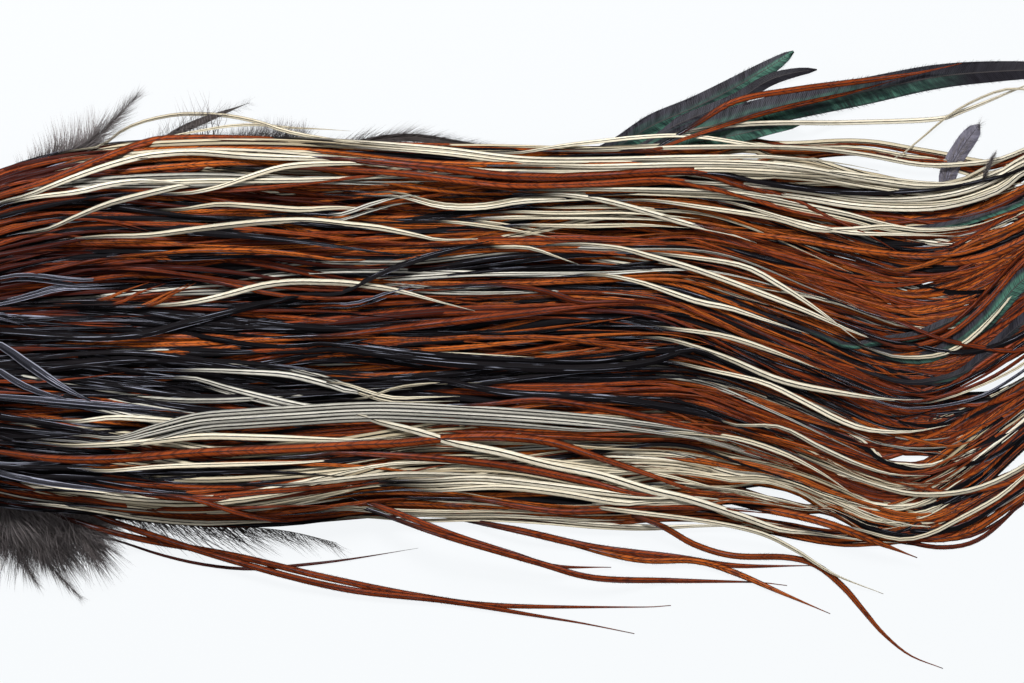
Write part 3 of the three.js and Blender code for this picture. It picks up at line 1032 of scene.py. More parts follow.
RANKS = (
    Rank(110, 24, 372, 34, 0.0, (0.01, 0.08), 1, (0.9, 1.45), 0.85),
    Rank(260, 12, 374, 36, 0.0, (0.06, 0.28), 5, (0.75, 1.1), 0.84, 0.4),
    Rank(200, -2, 352, 76, 0.03, (0.22, 0.48), 5, (0.7, 1.05), 0.7, 0.55),
    Rank(216, -14, 284, 110, -0.05, (0.42, 0.68), 6, (0.7, 1.05), 0.6, 0.75),
    Rank(180, -25, 176, 110, 0.06, (0.62, 0.86), 6, (0.7, 1.0), 0.6, 0.8),
    Rank(130, -36, 70, 60, 0.0, (0.82, 1.0), 5, (0.6, 0.95), 0.6, 0.8),
)
# How full the pile still is at each X, as the orders of the ranks go
FULLNESS = np.array([
    (-50, 1.0), (30, 1.0), (70, 0.84), (150, 0.82), (200, 0.66),
    (262, 0.62), (310, 0.44), (345, 0.38), (376, 0.24),
])

BASE_MIX = {F: 0.6, B: 0.16, K: 0.22, G: 0.04, S: 0.01}
UNDER_MIX = {F: 0.72, K: 0.21, E: 0.07}
ZONES = (
    Zone((760, 165), (280, 32), {B: 14.0, F: 0.6}),
    Zone((1000, 180), (120, 30), {B: 3.0}),
    Zone((60, 350), (260, 60), {K: 8.0, B: 0.15}),
    Zone((30, 380), (90, 70), {S: 5.0}),
    Zone((30, 270), (70, 50), {S: 4.0}),
    Zone((400, 362), (300, 24), {K: 5.0, B: 0.3}),
    Zone((560, 470), (170, 36), {B: 7.0, F: 0.7, K: 1.5}),
    Zone((260, 470), (180, 20), {B: 1.1}),
    Zone((230, 507), (150, 16), {F: 2.6, B: 0.4}),
    Zone((300, 415), (240, 16), {G: 12.0}),
    Zone((150, 190), (150, 45), {B: 0.6, F: 1.3}),
    Zone((480, 290), (300, 60), {F: 2.0, B: 0.4}),
    Zone((880, 300), (140, 80), {F: 2.0, B: 0.8, K: 1.6}),
    Zone((450, 180), (200, 25), {F: 1.7, B: 2.2}),
    Zone((900, 440), (150, 60), {B: 3.2, F: 1.2, K: 0.8}),
    Zone((1000, 420), (90, 90), {F: 1.3, K: 0.6}),
    Zone((40, 465), (90, 45), {K: 4.0, B: 0.3}),
)

TRACED = (
    Traced(E, 2.2, 0.1, "965,372 990,352 1024,322"),
    Traced(E, 1.6, 0.5, "850,346 880,341 920,335 950,322"),
    Traced(E, 2.9, 0.7, "925,358 955,345 985,322 1010,295 1024,280"),
    Traced(F, 0.9, 0.6, "905,347 945,337 975,316 1000,290 1024,262"),
    Traced(F, 0.8, 0.4, "895,340 940,331 972,308 1024,254"),
    Traced(F, 1.2, 0.6, "0,197 50,182 90,165 120,152 150,141 180,138 240,137"),
    Traced(B, 0.6, 0.6,
        "100,146 120,130 140,121 160,116 180,113 200,113 220,114 240,117 260,122 280,129 300,134 "
        "330,139 352,142"
    ),
    Traced(B, 0.5, 0.5, "150,140 180,134 200,130 230,125 260,124 290,127"),
    Traced(B, 1, 0.8, "30,197 60,185 100,170 140,158 170,154 200,153 250,157 300,159 350,160"),
    Traced(B, 1, 0.8, "50,230 80,217 110,205 140,197 170,190 190,186"),
    Traced(B, 1, 0.9, "40,198 80,193 110,186 140,182 170,183 197,186*"),
    Traced(B, 0.9, 0.7, "190,194 220,188 250,178 290,167 350,164"),
    Traced(B, 1, 0.7, "110,237 150,236 190,231 230,226 270,222 310,221 350,225 380,228 420,236 440,240"),
    Traced(B, 1, 0.8,
        "170,305 200,301 230,294 260,286 290,282 320,282 345,283 370,286 400,291 440,302 475,311*"
    ),
    Traced(B, 0.9, 0.6, "185,210 220,205 260,207 300,210 335,208"),
    Traced(F, 0.8, 0.9, "130,257 170,253 200,251 250,251 300,255 335,260"),
    Traced(F, 0.8, 1.0, "140,307 165,295 190,284*"),
    Traced(S, 0.7, 0.8, "5,278 30,275 80,280"),
    Traced(S, 0.7, 0.9, "0,305 30,298 60,290"),
    Traced(B, 0.8, 0.8, "340,140 400,145 450,150 500,157 540,160 600,160 692,158 760,157"),
    Traced(B, 0.8, 0.75, "540,166 600,167 692,165 760,166 830,172 900,180"),
    Traced(B, 0.8, 0.65, "530,173 600,175 660,172 720,170 800,174 880,178"),
    Traced(B, 0.72, 0.75, "520,153 560,146 600,141 640,137 692,136 760,146"),
    Traced(B, 0.8, 0.75, "560,190 620,190 680,191 740,194 800,204 850,214"),
    Traced(B, 0.8, 0.7, "655,201 715,209 775,218 815,229 850,229 890,226"),
    Traced(B, 0.9, 0.65, "495,218 540,217 600,217 650,219 690,224*"),
    Traced(B, 0.8, 0.55, "530,225 580,226 640,225 690,228*"),
    Traced(B, 0.8, 0.6, "520,212 560,213 620,212 660,215 700,219*"),
    Traced(F, 1.1, 0.6, "330,170 400,174 460,181 520,186 600,184 660,180 720,190 790,210"),
    Traced(G, 1, 0.8, "340,215 370,205 400,197 420,196*"),
    Traced(B, 0.72, 0.8, "400,197 440,207 480,208 520,202 560,200"),
    Traced(B, 0.8, 0.6, "450,222 500,228 555,238*"),
    Traced(B, 0.9, 0.75, "500,247 530,248 560,258 580,265*"),
    Traced(B, 0.86, 0.75, "580,244 620,248 650,256 692,268 740,285 800,308 850,330 897,348*"),
    Traced(B, 0.88, 0.75, "605,275 640,282 670,292 700,302 730,308 760,318 810,334*"),
    Traced(B, 0.96, 0.85, "560,195 600,200 640,210 692,225 730,234 757,243*"),
    Traced(K, 1.1, 0.4, "0,332 80,338 140,335 180,325 230,312 300,296"),
    Traced(K, 1.25, 0.6, "340,293 380,274 420,259 460,248 494,240*"),
    Traced(F, 1.0, 0.8, "152,306 174,294 197,283*"),
    Traced(F, 1.0, 0.6, "118,304 140,293 166,284*"),
    Traced(F, 1.0, 0.8, "104,300 128,290 150,283*"),
    Traced(S, 0.7, 0.8, "355,303 390,292 425,283*"),
    Traced(F, 1, 0.2, "500,285 540,290 580,302"),
    Traced(F, 1.2, 0.4, "340,335 400,328 450,322 500,316 550,310 600,305 640,303*"),
    Traced(B, 0.86, 0.75, "672,255 740,265 780,285 820,311 862,343*"),
    Traced(B, 0.96, 0.75, "672,340 725,357 780,380 835,392 895,400 932,399*"),
    Traced(B, 0.96, 0.75, "700,368 762,382 805,402 840,420 870,430 912,432 952,425*"),
    Traced(B, 0.8, 0.7, "830,468 875,485 920,495 975,490 1024,468"),
    Traced(F, 0.6, 0.5, "915,402 945,396 975,386 1000,374 1024,358"),
    Traced(S, 0.5, 0.8, "925,408 960,403 990,393 1024,372"),
    Traced(K, 0.5, 0.4, "940,390 965,381 990,368 1024,344"),
    Traced(B, 0.5, 0.5, "950,398 975,389 1000,378 1024,365"),
    Traced(F, 0.5, 0.3, "940,397 970,384 995,370 1024,350"),
    Traced(B, 0.6, 0.7, "698,486 740,491 770,498 800,505 830,514*"),
    Traced(B, 0.77, 0.65, "900,357 940,355 970,340 1000,310 1024,280"),
    Traced(B, 0.77, 0.65, "672,432 730,437 780,452 820,472 857,497*"),
    Traced(B, 0.77, 0.75, "735,425 780,427 820,447 860,465 895,475 932,476*"),
    Traced(B, 0.88, 0.75, "672,162 740,163 800,168 860,178 920,186 960,184 1000,172 1024,158"),
    Traced(B, 0.88, 0.85, "700,183 760,186 820,193 880,199 940,196 985,184 1024,163"),
    Traced(B, 0.96, 0.85, "740,190 800,197 860,206 920,208 960,203 1000,190 1024,172"),
    Traced(B, 0.69, 0.75, "740,205 800,222 850,232 900,234 962,236*"),
    Traced(B, 0.72, 0.75, "600,151 672,148 760,147 820,149 870,155 920,164 960,164 1000,159 1024,150"),
    Traced(F, 1.2, 0.5,
        "340,160 400,165 450,170 500,176 550,178 600,176 692,172 740,185 790,198 830,217 870,235 "
        "905,255*"
    ),
    Traced(K, 1, 0.3, "680,173 720,174 760,182 820,190 880,192 940,188 970,182"),
    Traced(F, 1, 0.8, "720,230 800,240 860,250 910,255"),
    Traced(F, 1, 1.0, "900,270 940,260 980,240"),
    Traced(B, 0.9, 0.7, "675,329 725,336 775,352 822,370*"),
    Traced(E, 1.5, 0.5, "905,229 950,225 990,213 1024,200"),
    Traced(S, 0.8, 1.0, "0,318 32,327*"),
    Traced(S, 1.9, 0.9, "0,344 30,364 60,384 97,403*"),
    Traced(S, 1.4, 1.0, "0,370 20,382 42,392 80,402*"),
    Traced(S, 0.8, 0.8, "0,395 60,400 120,405 195,412*"),
    Traced(B, 1, 0.8, "80,421 117,417 170,420"),
    Traced(G, 1, 0.9, "195,378 230,388 270,398 310,406"),
    Traced(G, 1, 0.9, "205,370 250,372 290,375 330,385 352,392"),
    Traced(K, 1.2, 0.6, "340,350 440,362 540,368 600,368 650,362 692,350"),
    Traced(K, 1.1, 0.5, "330,344 430,355 540,361 600,361 660,352"),
    Traced(K, 1.2, 1.0, "440,380 500,392 560,396 620,400 692,412"),
    Traced(G, 0.95, 0.6, "120,437 160,425 200,415 250,411 300,408 352,405 400,405 500,410 600,418 692,430"),
    Traced(G, 0.95, 0.7, "110,443 160,431 200,422 250,418 300,415 352,412 400,412 500,417 600,425 680,436"),
    Traced(G, 0.95, 0.5, "140,444 200,429 250,425 300,422 352,419 400,419 500,424 580,430"),
    Traced(B, 0.6, 0.6, "450,353 520,358 560,361"),
    Traced(B, 0.6, 0.6, "365,398 395,388 425,384"),
    Traced(B, 0.7, 0.7, "340,383 380,395 400,398"),
    Traced(B, 1, 0.7, "80,445 140,442 200,436 260,437 352,440"),
    Traced(B, 1.2, 0.8,
        "355,414 380,422 420,432 455,443 500,452 550,465 600,475 650,490 692,500 740,516 780,530"
    ),
    Traced(F, 1.3, 0.6,
        "0,450 60,458 120,458 200,452 300,448 352,445 400,443 450,438 500,437 550,442 600,458 "
        "650,475 692,490"
    ),
    Traced(F, 1.1, 0.5, "480,405 540,400 600,408 650,418 692,428"),
    Traced(F, 1.1, 0.5, "340,453 420,457 500,465 580,480 640,495"),
    Traced(B, 0.9, 0.7, "110,470 160,466 220,464 300,462"),
    Traced(B, 1, 0.8, "300,483 340,479 400,474 470,475"),
    Traced(B, 1, 0.8, "430,480 480,478 540,484 600,492 650,497"),
    Traced(B, 1, 0.7, "440,490 500,487 560,493 620,503"),
    Traced(F, 1, 0.4, "180,495 210,502 240,512 280,520"),
    Traced(B, 0.8, 0.8, "60,505 110,512 150,519 200,523 245,522"),
    Traced(B, 0.8, 0.85, "540,520 600,525 660,528"),
    Traced(F, 1, 0.5, "480,500 560,512 640,508 692,508"),
    Traced(F, 0.5, 0.1, "110,540 160,556 205,566 250,570 300,566 350,560 418,549*"),
    Traced(B, 0.69, 0.65, "860,530 900,540 930,535 960,520 1000,498 1024,478"),
    Traced(B, 0.7, 0.7, "345,509 400,514 450,516 500,516 560,519"),
    Traced(B, 0.6, 0.6, "360,517 420,521 480,520 540,523 600,528 650,530"),
    Traced(F, 0.8, 0.3, "900,322 935,336 970,345 1024,350"),
    Traced(K, 0.9, 0.3, "915,345 950,352 985,350 1024,335"),
    Traced(F, 0.8, 0.6, "655,150 690,137 767,112 847,93 908,76*"),
    Traced(B, 0.4, 0.65, "895,158 920,140 950,115 980,98 1010,88 1040,90 1075,97*"),
)


@dataclass(frozen=True)
class Parting:
    """A gap between hackles through which the table shows: its half width, and its middle in pixels."""

    half_width: float
    route: str
    REACH = 9.0  # how far from the middle hackles give way
    OPENS = 0.45  # by this share of the gap's length it is fully open
    CLOSES = 0.7
    FADES = 0.3  # where it is narrower than this share of its full width, fewer give way

    def aside(self, line: np.ndarray) -> np.ndarray:
        """Moves a hackle out of the gap.

        Args:
            line: its course on the table.

        Returns:
            The line on that side of the gap that most of it is on.
        """
        middle = from_pixels(self.route)
        share = (line[:, 0] - middle[0, 0]) / (middle[-1, 0] - middle[0, 0])
        wide = self.half_width * ease(0.0, self.OPENS, share) * (1 - ease(self.CLOSES, 1.0, share))
        away = line[:, 1] - np.interp(line[:, 0], middle[:, 0], middle[:, 1])
        side = 1.0 if (away * wide).sum() >= 0 else -1.0
        near = np.clip(side * away, 0.0, self.REACH)
        moved = (wide + near * (1 - wide / self.REACH) - side * away) * (side * away < self.REACH)
        moved *= np.minimum(wide / (self.FADES * self.half_width), 1.0)
        return line + np.column_stack((np.zeros(len(line)), side * moved))


PARTINGS = (
    Parting(4.4, "925,398 945,393 970,386 1000,378 1024,368 1060,346 1100,318"),
    Parting(1.45, "868,463 895,461 925,458 950,452"),
    Parting(3.2, "975,488 1000,476 1024,459 1060,430 1100,395"),
    Parting(3.4, "690,500 740,508 780,513 830,523 880,537"),
    Parting(2.2, "722,488 760,489 795,498 830,512"),
    Parting(3.1, "785,156 850,161 880,165 905,171 935,174 965,175 995,171"),
    Parting(1.8, "715,152 745,155 775,157"),
)


def parted(line: np.ndarray) -> np.ndarray:
    """A line on the table, moved out of every gap.

    Args:
        line: its points.

    Returns:
        Its points beside the gaps.
    """
    for parting in PARTINGS:
        line = parting.aside(line)
    return line


@dataclass(frozen=True)
class Scatter:
    """How unevenly hackles lie in their ranks: lengths in millimetres, pairs as limits, others as spreads."""

    lock_swing: Pair = (0.6, 4.6)
    lock_length: Pair = (110, 240)
    lock_shift: float = 6.0  # of where its locks curl, along the saddle
    lock_chance: float = 0.6  # that a hackle is of its lock's kind
    lock_tone: float = 0.25
    single_tone: Pair = (0.1, 0.6)  # of the hackles that lie under the locks
    place: float = 0.035  # across the saddle, as a share of it
    root: Pair = (-8, 6)
    late_tips: float = 1.3  # above 1, more of them reach far
    swing: Pair = (0.2, 1.1)
    length: Pair = (60, 130)
    splay: float = 2.6  # at the tip
    shift: float = 3.0
    still: Pair = (0.2, 0.08)  # the share of swing left at the outer edges, and how far in that ends
    order: float = 0.02
    weave: float = 0.04  # up and down, as a share of the pile
    weave_length: Pair = (50, 120)
    tone: float = 0.14
    roll: float = 0.2
    twist: float = 0.16
    twist_length: Pair = (60, 120)


class Hackles:
    """Every hackle of the saddle node, laid into the pile."""

    # Distances between the points of a centre line
    STATION = 7.0
    CURL_STATION = 4.2
    TRACED_STATION = 4.0
    COURSE_STATION = 3.0
    EXTENSION_STATION = 9.0

    # Limits in the flow, as X in millimetres
    CURL = (195, 235)  # the points of a line get closer
    CURL_SHIFTS = (170, 260)  # the locks curl earlier or later
    LIGHTER = (50.0, 160.0)  # furnace hackles are dark near the skin and rust brown from here on
    DARKER = (230.0, 290.0)
    THIN_PILE = (150.0, 270.0)
    LONGER_TAILS = (150, 260)
    RIGHT_EDGE = (PHOTO_SIZE[0] - PIXEL_ORIGIN[0]) * PIXEL
    SKIN_ROOT = 66.0
    CURL_ROOT = 130.0
    CURL_TOP = 43  # as Y
    FIRST_ROOT = -30.0
    LAST_TIP = 371.0

    # The fillers
    SHOWS_AT = 0.72  # the share of its length where a hackle shows most
    LIGHT = (0.58, -0.1, -0.28)  # how their tone changes: past LIGHTER, past DARKER and everywhere
    LOWEST_TONE = 0.42
    TOP_LIGHTER = 0.1
    FULLEST = 0.98
    FILLER_BARE = 0.82
    TABLE_GAP = 0.15
    RIDGE = 0.3
    TOP_GAP = 0.2

    # The traced ones
    LEAD = 44.0  # from the root of a traced hackle to where it comes out on top
    LEAD_SINK = 0.35
    LEAD_WIDTH = 0.25
    LEAD_WIDENS = (0.3, 1.8)  # from here to there it gets its full width, in leads
    LEAD_GAP = 7  # between the last point before the route and its first
    OVER_GREENS = 0.5  # from here to the lead's end it climbs over green feathers, in leads
    WEB = 0.2  # its reach there
    TAIL = 24.0  # from where it goes under again to its tip
    TAIL_LONGER = 12.0  # and this much more past LONGER_TAILS
    TAIL_SINK = 0.2
    LONG_TAIL = 38.0  # outside the photograph
    LONG_TAIL_SIZES = (0.8, 1.15)
    NEAR_EDGE = 8  # a route that ends this near the photograph's right edge runs on outside it
    SLIMS_FROM = 0.68
    SLIMS_OUTSIDE_FROM = 0.8
    LIFT = 0.6  # how far it stays above its neighbours where the pile is thin
    SPREAD = 0.05  # from the lowest traced hackle to the topmost, as a share of the pile
    SWELL = 1.02
    TRACED_BARE = 0.35
    PAIRED = (0.7, 1.3)  # the half widths of those that may have one more beside them
    LONE_WIDTH = 1.1  # cream ones wider than this have none
    ALONE = 0.35
    BESIDE = 1.4  # how far beside, in half widths
    BESIDE_UNDER = 0.06
    BESIDE_SIZE = (0.7, 0.95)
    BESIDE_SWING = 26.0
    BESIDE_APART = (0.9, 0.5, 0.3)  # at its root, how much more at its tip, and how far it swings

    def __init__(self, flow: Flow, ground: Ground, greens: Ground, rng: np.random.Generator) -> None:
        """Keeps what the feathers follow, lie in and lie over.

        Args:
            flow: how they run.
            ground: how high the pile is.
            greens: the green feathers, which some cross over.
            rng: where the random numbers come from.
        """
        self.flow = flow
        self.ground = ground
        self.greens = greens
        self.rng = rng
        self.scatter = Scatter()
        self.top = float(ground.heights.max())

    def all(self) -> list[Feather]:
        """Every hackle, from the table up."""
        return self._fillers() + self._traced()

    def _mix_at(self, x: float, y: float) -> dict[Kind, float]:
        """How likely each kind is at a point of the saddle.

        Args:
            x: X in millimetres.
            y: Y in millimetres.

        Returns:
            A weight for each kind.
        """
        weights = dict(BASE_MIX)
        pixel = (x / PIXEL + PIXEL_ORIGIN[0], PIXEL_ORIGIN[1] - y / PIXEL)
        for zone in ZONES:
            away = sum(((p - c) / s) ** 2 for p, c, s in zip(pixel, zone.centre, zone.spread))
            share = math.exp(-0.5 * away)
            for kind, factor in zone.kinds.items():
                weights[kind] *= factor**share
        return weights

    def _fillers(self) -> list[Feather]:
        """The hackles that fill the ranks, lock by lock.

        Returns:
            The hackles, from the table up.
        """
        feathers = []
        for rank in RANKS:
            locks = rank.count // rank.lock
            for number in range(locks):
                feathers += self._lock(rank, (number + self.rng.random()) / locks)
        return feathers

    def _lock(self, rank: Rank, place: float) -> list[Feather]:
        """Some hackles that lie together.

        Args:
            rank: the rank that they belong to.
            place: where they are across the saddle.

        Returns:
            The hackles.
        """
        rng, scatter = self.rng, self.scatter
        together = rank.lock > 1
        swing = rng.uniform(*scatter.lock_swing) if together else 1.0
        length, phase = rng.uniform(*scatter.lock_length), rng.random()
        late = rng.normal(0, scatter.lock_shift)
        order = rng.uniform(*rank.order)
        middle_tone = self.LOWEST_TONE + self.TOP_LIGHTER * order
        tone = rng.normal(middle_tone, scatter.lock_tone) if together else rng.uniform(*scatter.single_tone)
        own_kind = None
        feathers = []
        for _ in range(rank.lock):
            line = self._course(rank, place, lambda x: swing * sway(x, length, phase), late)
            drawn = self._draw(rank, line)
            own_kind = own_kind or drawn
            kind = own_kind if rng.random() < scatter.lock_chance else drawn
            weave = scatter.weave * sway(line[:, 0], rng.uniform(*scatter.weave_length), rng.random())
            fullness = np.interp(line[:, 0], FULLNESS[:, 0], FULLNESS[:, 1])
            own_order = order + rng.uniform(-scatter.order, scatter.order) + weave
            fill = np.clip(own_order / fullness, 0, self.FULLEST)
            own_tone = tone + rng.normal(0, scatter.tone)
            if kind is F:
                own_tone += self._light(self._showing(line)[0])
            half_width = rng.uniform(*rank.half_widths)
            taper = Taper(slims_from=rank.slims_from)
            feather = self._lay(kind, line, fill, half_width, float(np.clip(own_tone, 0, 1)), taper)
            feather.bare = self.FILLER_BARE
            feathers.append(feather)
        return feathers

    def _course(
        self, rank: Rank, place: float, slow: Callable[[np.ndarray], np.ndarray], late: float
    ) -> np.ndarray:
        """Where one hackle of a lock runs.

        Args:
            rank: its rank.
            place: where its lock is across the saddle.
            slow: how far its lock swings to the side at each X.
            late: how much further along the saddle its lock curls.

        Returns:
            Its points on the table.
        """
        rng, scatter = self.rng, self.scatter
        own_place = float(np.clip(place + rng.uniform(-scatter.place, scatter.place), 0.0, 1.0))
        tip = rank.tips - rank.scatter * rng.random() ** scatter.late_tips
        root = rank.root + rng.uniform(*scatter.root)
        x = np.arange(root, tip, self.COURSE_STATION)
        along = (x - root) / (tip - root)
        bow = own_place + 4 * rank.drift * along * place * (1 - place)
        quick = rng.uniform(*scatter.swing) * sway(x, rng.uniform(*scatter.length), rng.random())
        stray = rng.normal(0, scatter.splay) * along**3
        least, inwards = scatter.still
        inside = ease(0.0, inwards, np.clip(np.minimum(bow, 1 - bow), 0, 1)) * (1 - least) + least
        shift = (late + rng.normal(0, scatter.shift)) * ease(*self.CURL_SHIFTS, x)
        y = self.flow.at(x + shift, bow) + (slow(x) + quick + stray) * inside
        return self._stations(parted(np.column_stack((x, y))))

    def _showing(self, line: np.ndarray) -> np.ndarray:
        """The point of a line where its hackle shows most."""
        return line[int(self.SHOWS_AT * (len(line) - 1))]

    def _light(self, x: float) -> float:
        """How much lighter furnace hackles are at an X, next to their usual tone."""
        near, far, everywhere = self.LIGHT
        return near * ease(*self.LIGHTER, x) + far * ease(*self.DARKER, x) + everywhere

    def _draw(self, rank: Rank, line: np.ndarray) -> Kind:
        """A kind, as likely as it is where the hackle shows.

        Args:
            rank: the hackle's rank.
            line: its points on the table.

        Returns:
            The kind.
        """
        mix = dict(UNDER_MIX)
        if rank.lock > 1:
            mix = self._mix_at(*self._showing(line))
            mix[B] *= rank.pale
        kinds = list(mix)
        weights = np.array([mix[k] for k in kinds])
        return kinds[int(self.rng.choice(len(kinds), p=weights / weights.sum()))]

    def _stations(self, line: np.ndarray) -> np.ndarray:
        """Points along a line, closer together where the saddle curls.

        Args:
            line: its points.

        Returns:
            The new points.
        """
        steps = np.linalg.norm(np.diff(line, axis=0), axis=1)
        spacing = self.STATION + (self.CURL_STATION - self.STATION) * ease(*self.CURL, line[1:, 0])
        counted = np.concatenate(([0.0], np.cumsum(steps / spacing)))
        wanted = np.linspace(0, counted[-1], int(counted[-1]) + 3)
        return np.column_stack([np.interp(wanted, counted, line[:, i]) for i in range(2)])

    def _lay(
        self, kind: Kind, line: np.ndarray, fill: np.ndarray, half_width: float, tone: float, taper: Taper
    ) -> Feather:
        """Lays a hackle into the pile.

        Args:
            kind: its kind.
            line: its points on the table.
            fill: how high in the pile each of them is, from 0 to 1.
            half_width: its half width.
            tone: its tone.
            taper: how its width changes.

        Returns:
            The hackle, with its height, its widths and its roll.
        """
        rng, scatter = self.rng, self.scatter
        along = distances(line)
        lowest = self.TABLE_GAP + self.RIDGE * half_width
        height = np.clip(self.ground.at(line) * fill, lowest, self.top + self.TOP_GAP)
        twist = rng.normal(0, scatter.roll), rng.uniform(*scatter.twist_length), rng.random()
        roll = twist[0] + scatter.twist * sway(along, *twist[1:])
        wide = taper.widths(half_width, along / along[-1])
        return Feather(kind, np.column_stack((line, height)), wide, roll, tone)

    def _traced(self) -> list[Feather]:
        """The hackles that stand out in the photograph, the topmost last, some with one more beside them.

        Returns:
            The hackles, from the lowest to the topmost.
        """
        feathers = []
        for number, traced in enumerate(TRACED):
            shows = traced.route.endswith("*")
            points = self._extend(from_pixels(traced.route.rstrip("*")), shows)
            top = 1.0 + self.SPREAD * number / len(TRACED)
            if not self._stands_alone(traced, *points[0]):
                aside = self.rng.choice((-1.0, 1.0)) * self.BESIDE * traced.half_width
                beside = self._beside(points[self.rng.integers(0, 2):], aside)
                beside = parted(curve_through(beside, self.TRACED_STATION))
                size = self.rng.uniform(*self.BESIDE_SIZE)
                feathers.append(self._trace(traced, beside, shows, top - self.BESIDE_UNDER, size))
            feathers.append(self._trace(traced, points, shows, top, 1.0))
        return feathers

    def _stands_alone(self, traced: Traced, root_x: float, root_y: float) -> bool:
        """Whether a traced hackle has none beside it.

        Args:
            traced: the hackle.
            root_x: X of its root.
            root_y: Y of its root.

        Returns:
            True for those too slim, too wide or not cream, grizzle or black with painted gleams, and for
            cream ones near the skin or in the curl.
        """
        slimmest, widest = self.PAIRED
        if traced.kind not in (B, S, G) or not slimmest <= traced.half_width <= widest:
            return True
        outside = root_x < self.SKIN_ROOT or (root_x > self.CURL_ROOT and root_y < self.CURL_TOP)
        by_chance = self.rng.random() < self.ALONE
        return traced.kind is B and (outside or traced.half_width > self.LONE_WIDTH or by_chance)

    def _trace(self, traced: Traced, points: np.ndarray, shows: bool, top: float, size: float) -> Feather:
        """One traced hackle.

        Args:
            traced: its kind, half width and tone.
            points: the route of its whole length.
            shows: whether its tip stays on top.
            top: how high in the pile it lies.
            size: its width, and how pale it is, next to what was traced.

        Returns:
            The hackle, slim and low at its root.
        """
        line = curve_through(points, self.TRACED_STATION)
        along = distances(line)
        fill = top - self.LEAD_SINK * (1 - ease(0, self.LEAD, along))
        ends_outside = line[-1, 0] > self.RIGHT_EDGE
        if not shows and not ends_outside:
            fill -= self.TAIL_SINK * (1 - ease(0, self.TAIL, along[-1] - along))
        half_width = self.SWELL * size * traced.half_width
        taper = Taper(slims_from=self.SLIMS_OUTSIDE_FROM if ends_outside else self.SLIMS_FROM)
        feather = self._lay(traced.kind, line, fill, half_width, size * traced.tone, taper)
        over = self.greens.over(line) * ease(self.OVER_GREENS * self.LEAD, self.LEAD, along)
        lift = 0.0 if traced.kind is E else self.LIFT
        lifted = feather.line[:, 2] + lift * ease(*self.THIN_PILE, line[:, 0])
        feather.line[:, 2] = np.maximum(lifted, over)
        widens, widest = self.LEAD_WIDENS
        widening = ease(widens * self.LEAD, widest * self.LEAD, along)
        feather.wide = feather.wide * (self.LEAD_WIDTH + (1 - self.LEAD_WIDTH) * widening)
        lead = self.LEAD / along[-1]
        feather.reach_from = (self.WEB - lead) / (1 - lead)
        feather.bare = self.TRACED_BARE
        return feather

    def _beside(self, points: np.ndarray, aside: float) -> np.ndarray:
        """A route that runs beside another and slowly parts from it.

        Args:
            points: the other route.
            aside: how far beside it, with its sign.

        Returns:
            The new route.
        """
        along = np.linspace(0, 1, len(points))
        swing = np.sin(points[:, 0] / self.BESIDE_SWING + 2 * math.pi * self.rng.random())
        first, more, swinging = self.BESIDE_APART
        apart = aside * (first + more * along + swinging * swing)
        return points - np.column_stack((np.zeros(len(points)), apart))

    def _extend(self, points: np.ndarray, shows: bool) -> np.ndarray:
        """Carries a traced route on along the flow, under its neighbours, to its root and its tip.

        Args:
            points: the route.
            shows: whether its last point is the tip.

        Returns:
            The longer route.
        """
        x = points[0, 0]
        before = np.arange(max(x - self.LEAD, self.FIRST_ROOT), x - self.LEAD_GAP, self.EXTENSION_STATION)
        lead = self._with_flow(points[0], before)
        if shows:
            return np.vstack((lead, points))
        x = points[-1, 0]
        tail = self.TAIL + self.TAIL_LONGER * float(ease(*self.LONGER_TAILS, np.array(x)))
        if x > self.RIGHT_EDGE - self.NEAR_EDGE:
            tail = self.LONG_TAIL * self.rng.uniform(*self.LONG_TAIL_SIZES)
        last = min(x + tail, self.LAST_TIP)
        beyond = np.arange(x + self.EXTENSION_STATION, last + 1, self.EXTENSION_STATION)
        return np.vstack((lead, points, self._with_flow(points[-1], beyond)))

    def _with_flow(self, point: np.ndarray, x: np.ndarray) -> np.ndarray:
        """The points at each X of a line that passes a point and runs with the flow.

        Args:
            point: the point.
            x: each X.

        Returns:
            The points.
        """
        place = self.flow.place_of(*point)
        bend = point[1] - self.flow.at(point[:1], np.array([place]))[0]
        return np.column_stack((x, self.flow.at(x, np.full(len(x), place)) + bend))


@dataclass(frozen=True)
class Loose:
    """A feather with a node of its own: its kind, its half width, its tone and its route in millimetres."""

    kind: Kind
    half_width: float
    tone: float
    route: str
    slims_from: float = 0.6


def numbered(name: str, forms: tuple[Loose, ...]) -> dict[str, Loose]:
    """Forms by the names of their nodes, which are numbered from 1."""
    return {name.format(number): form for number, form in enumerate(forms, start=1)}


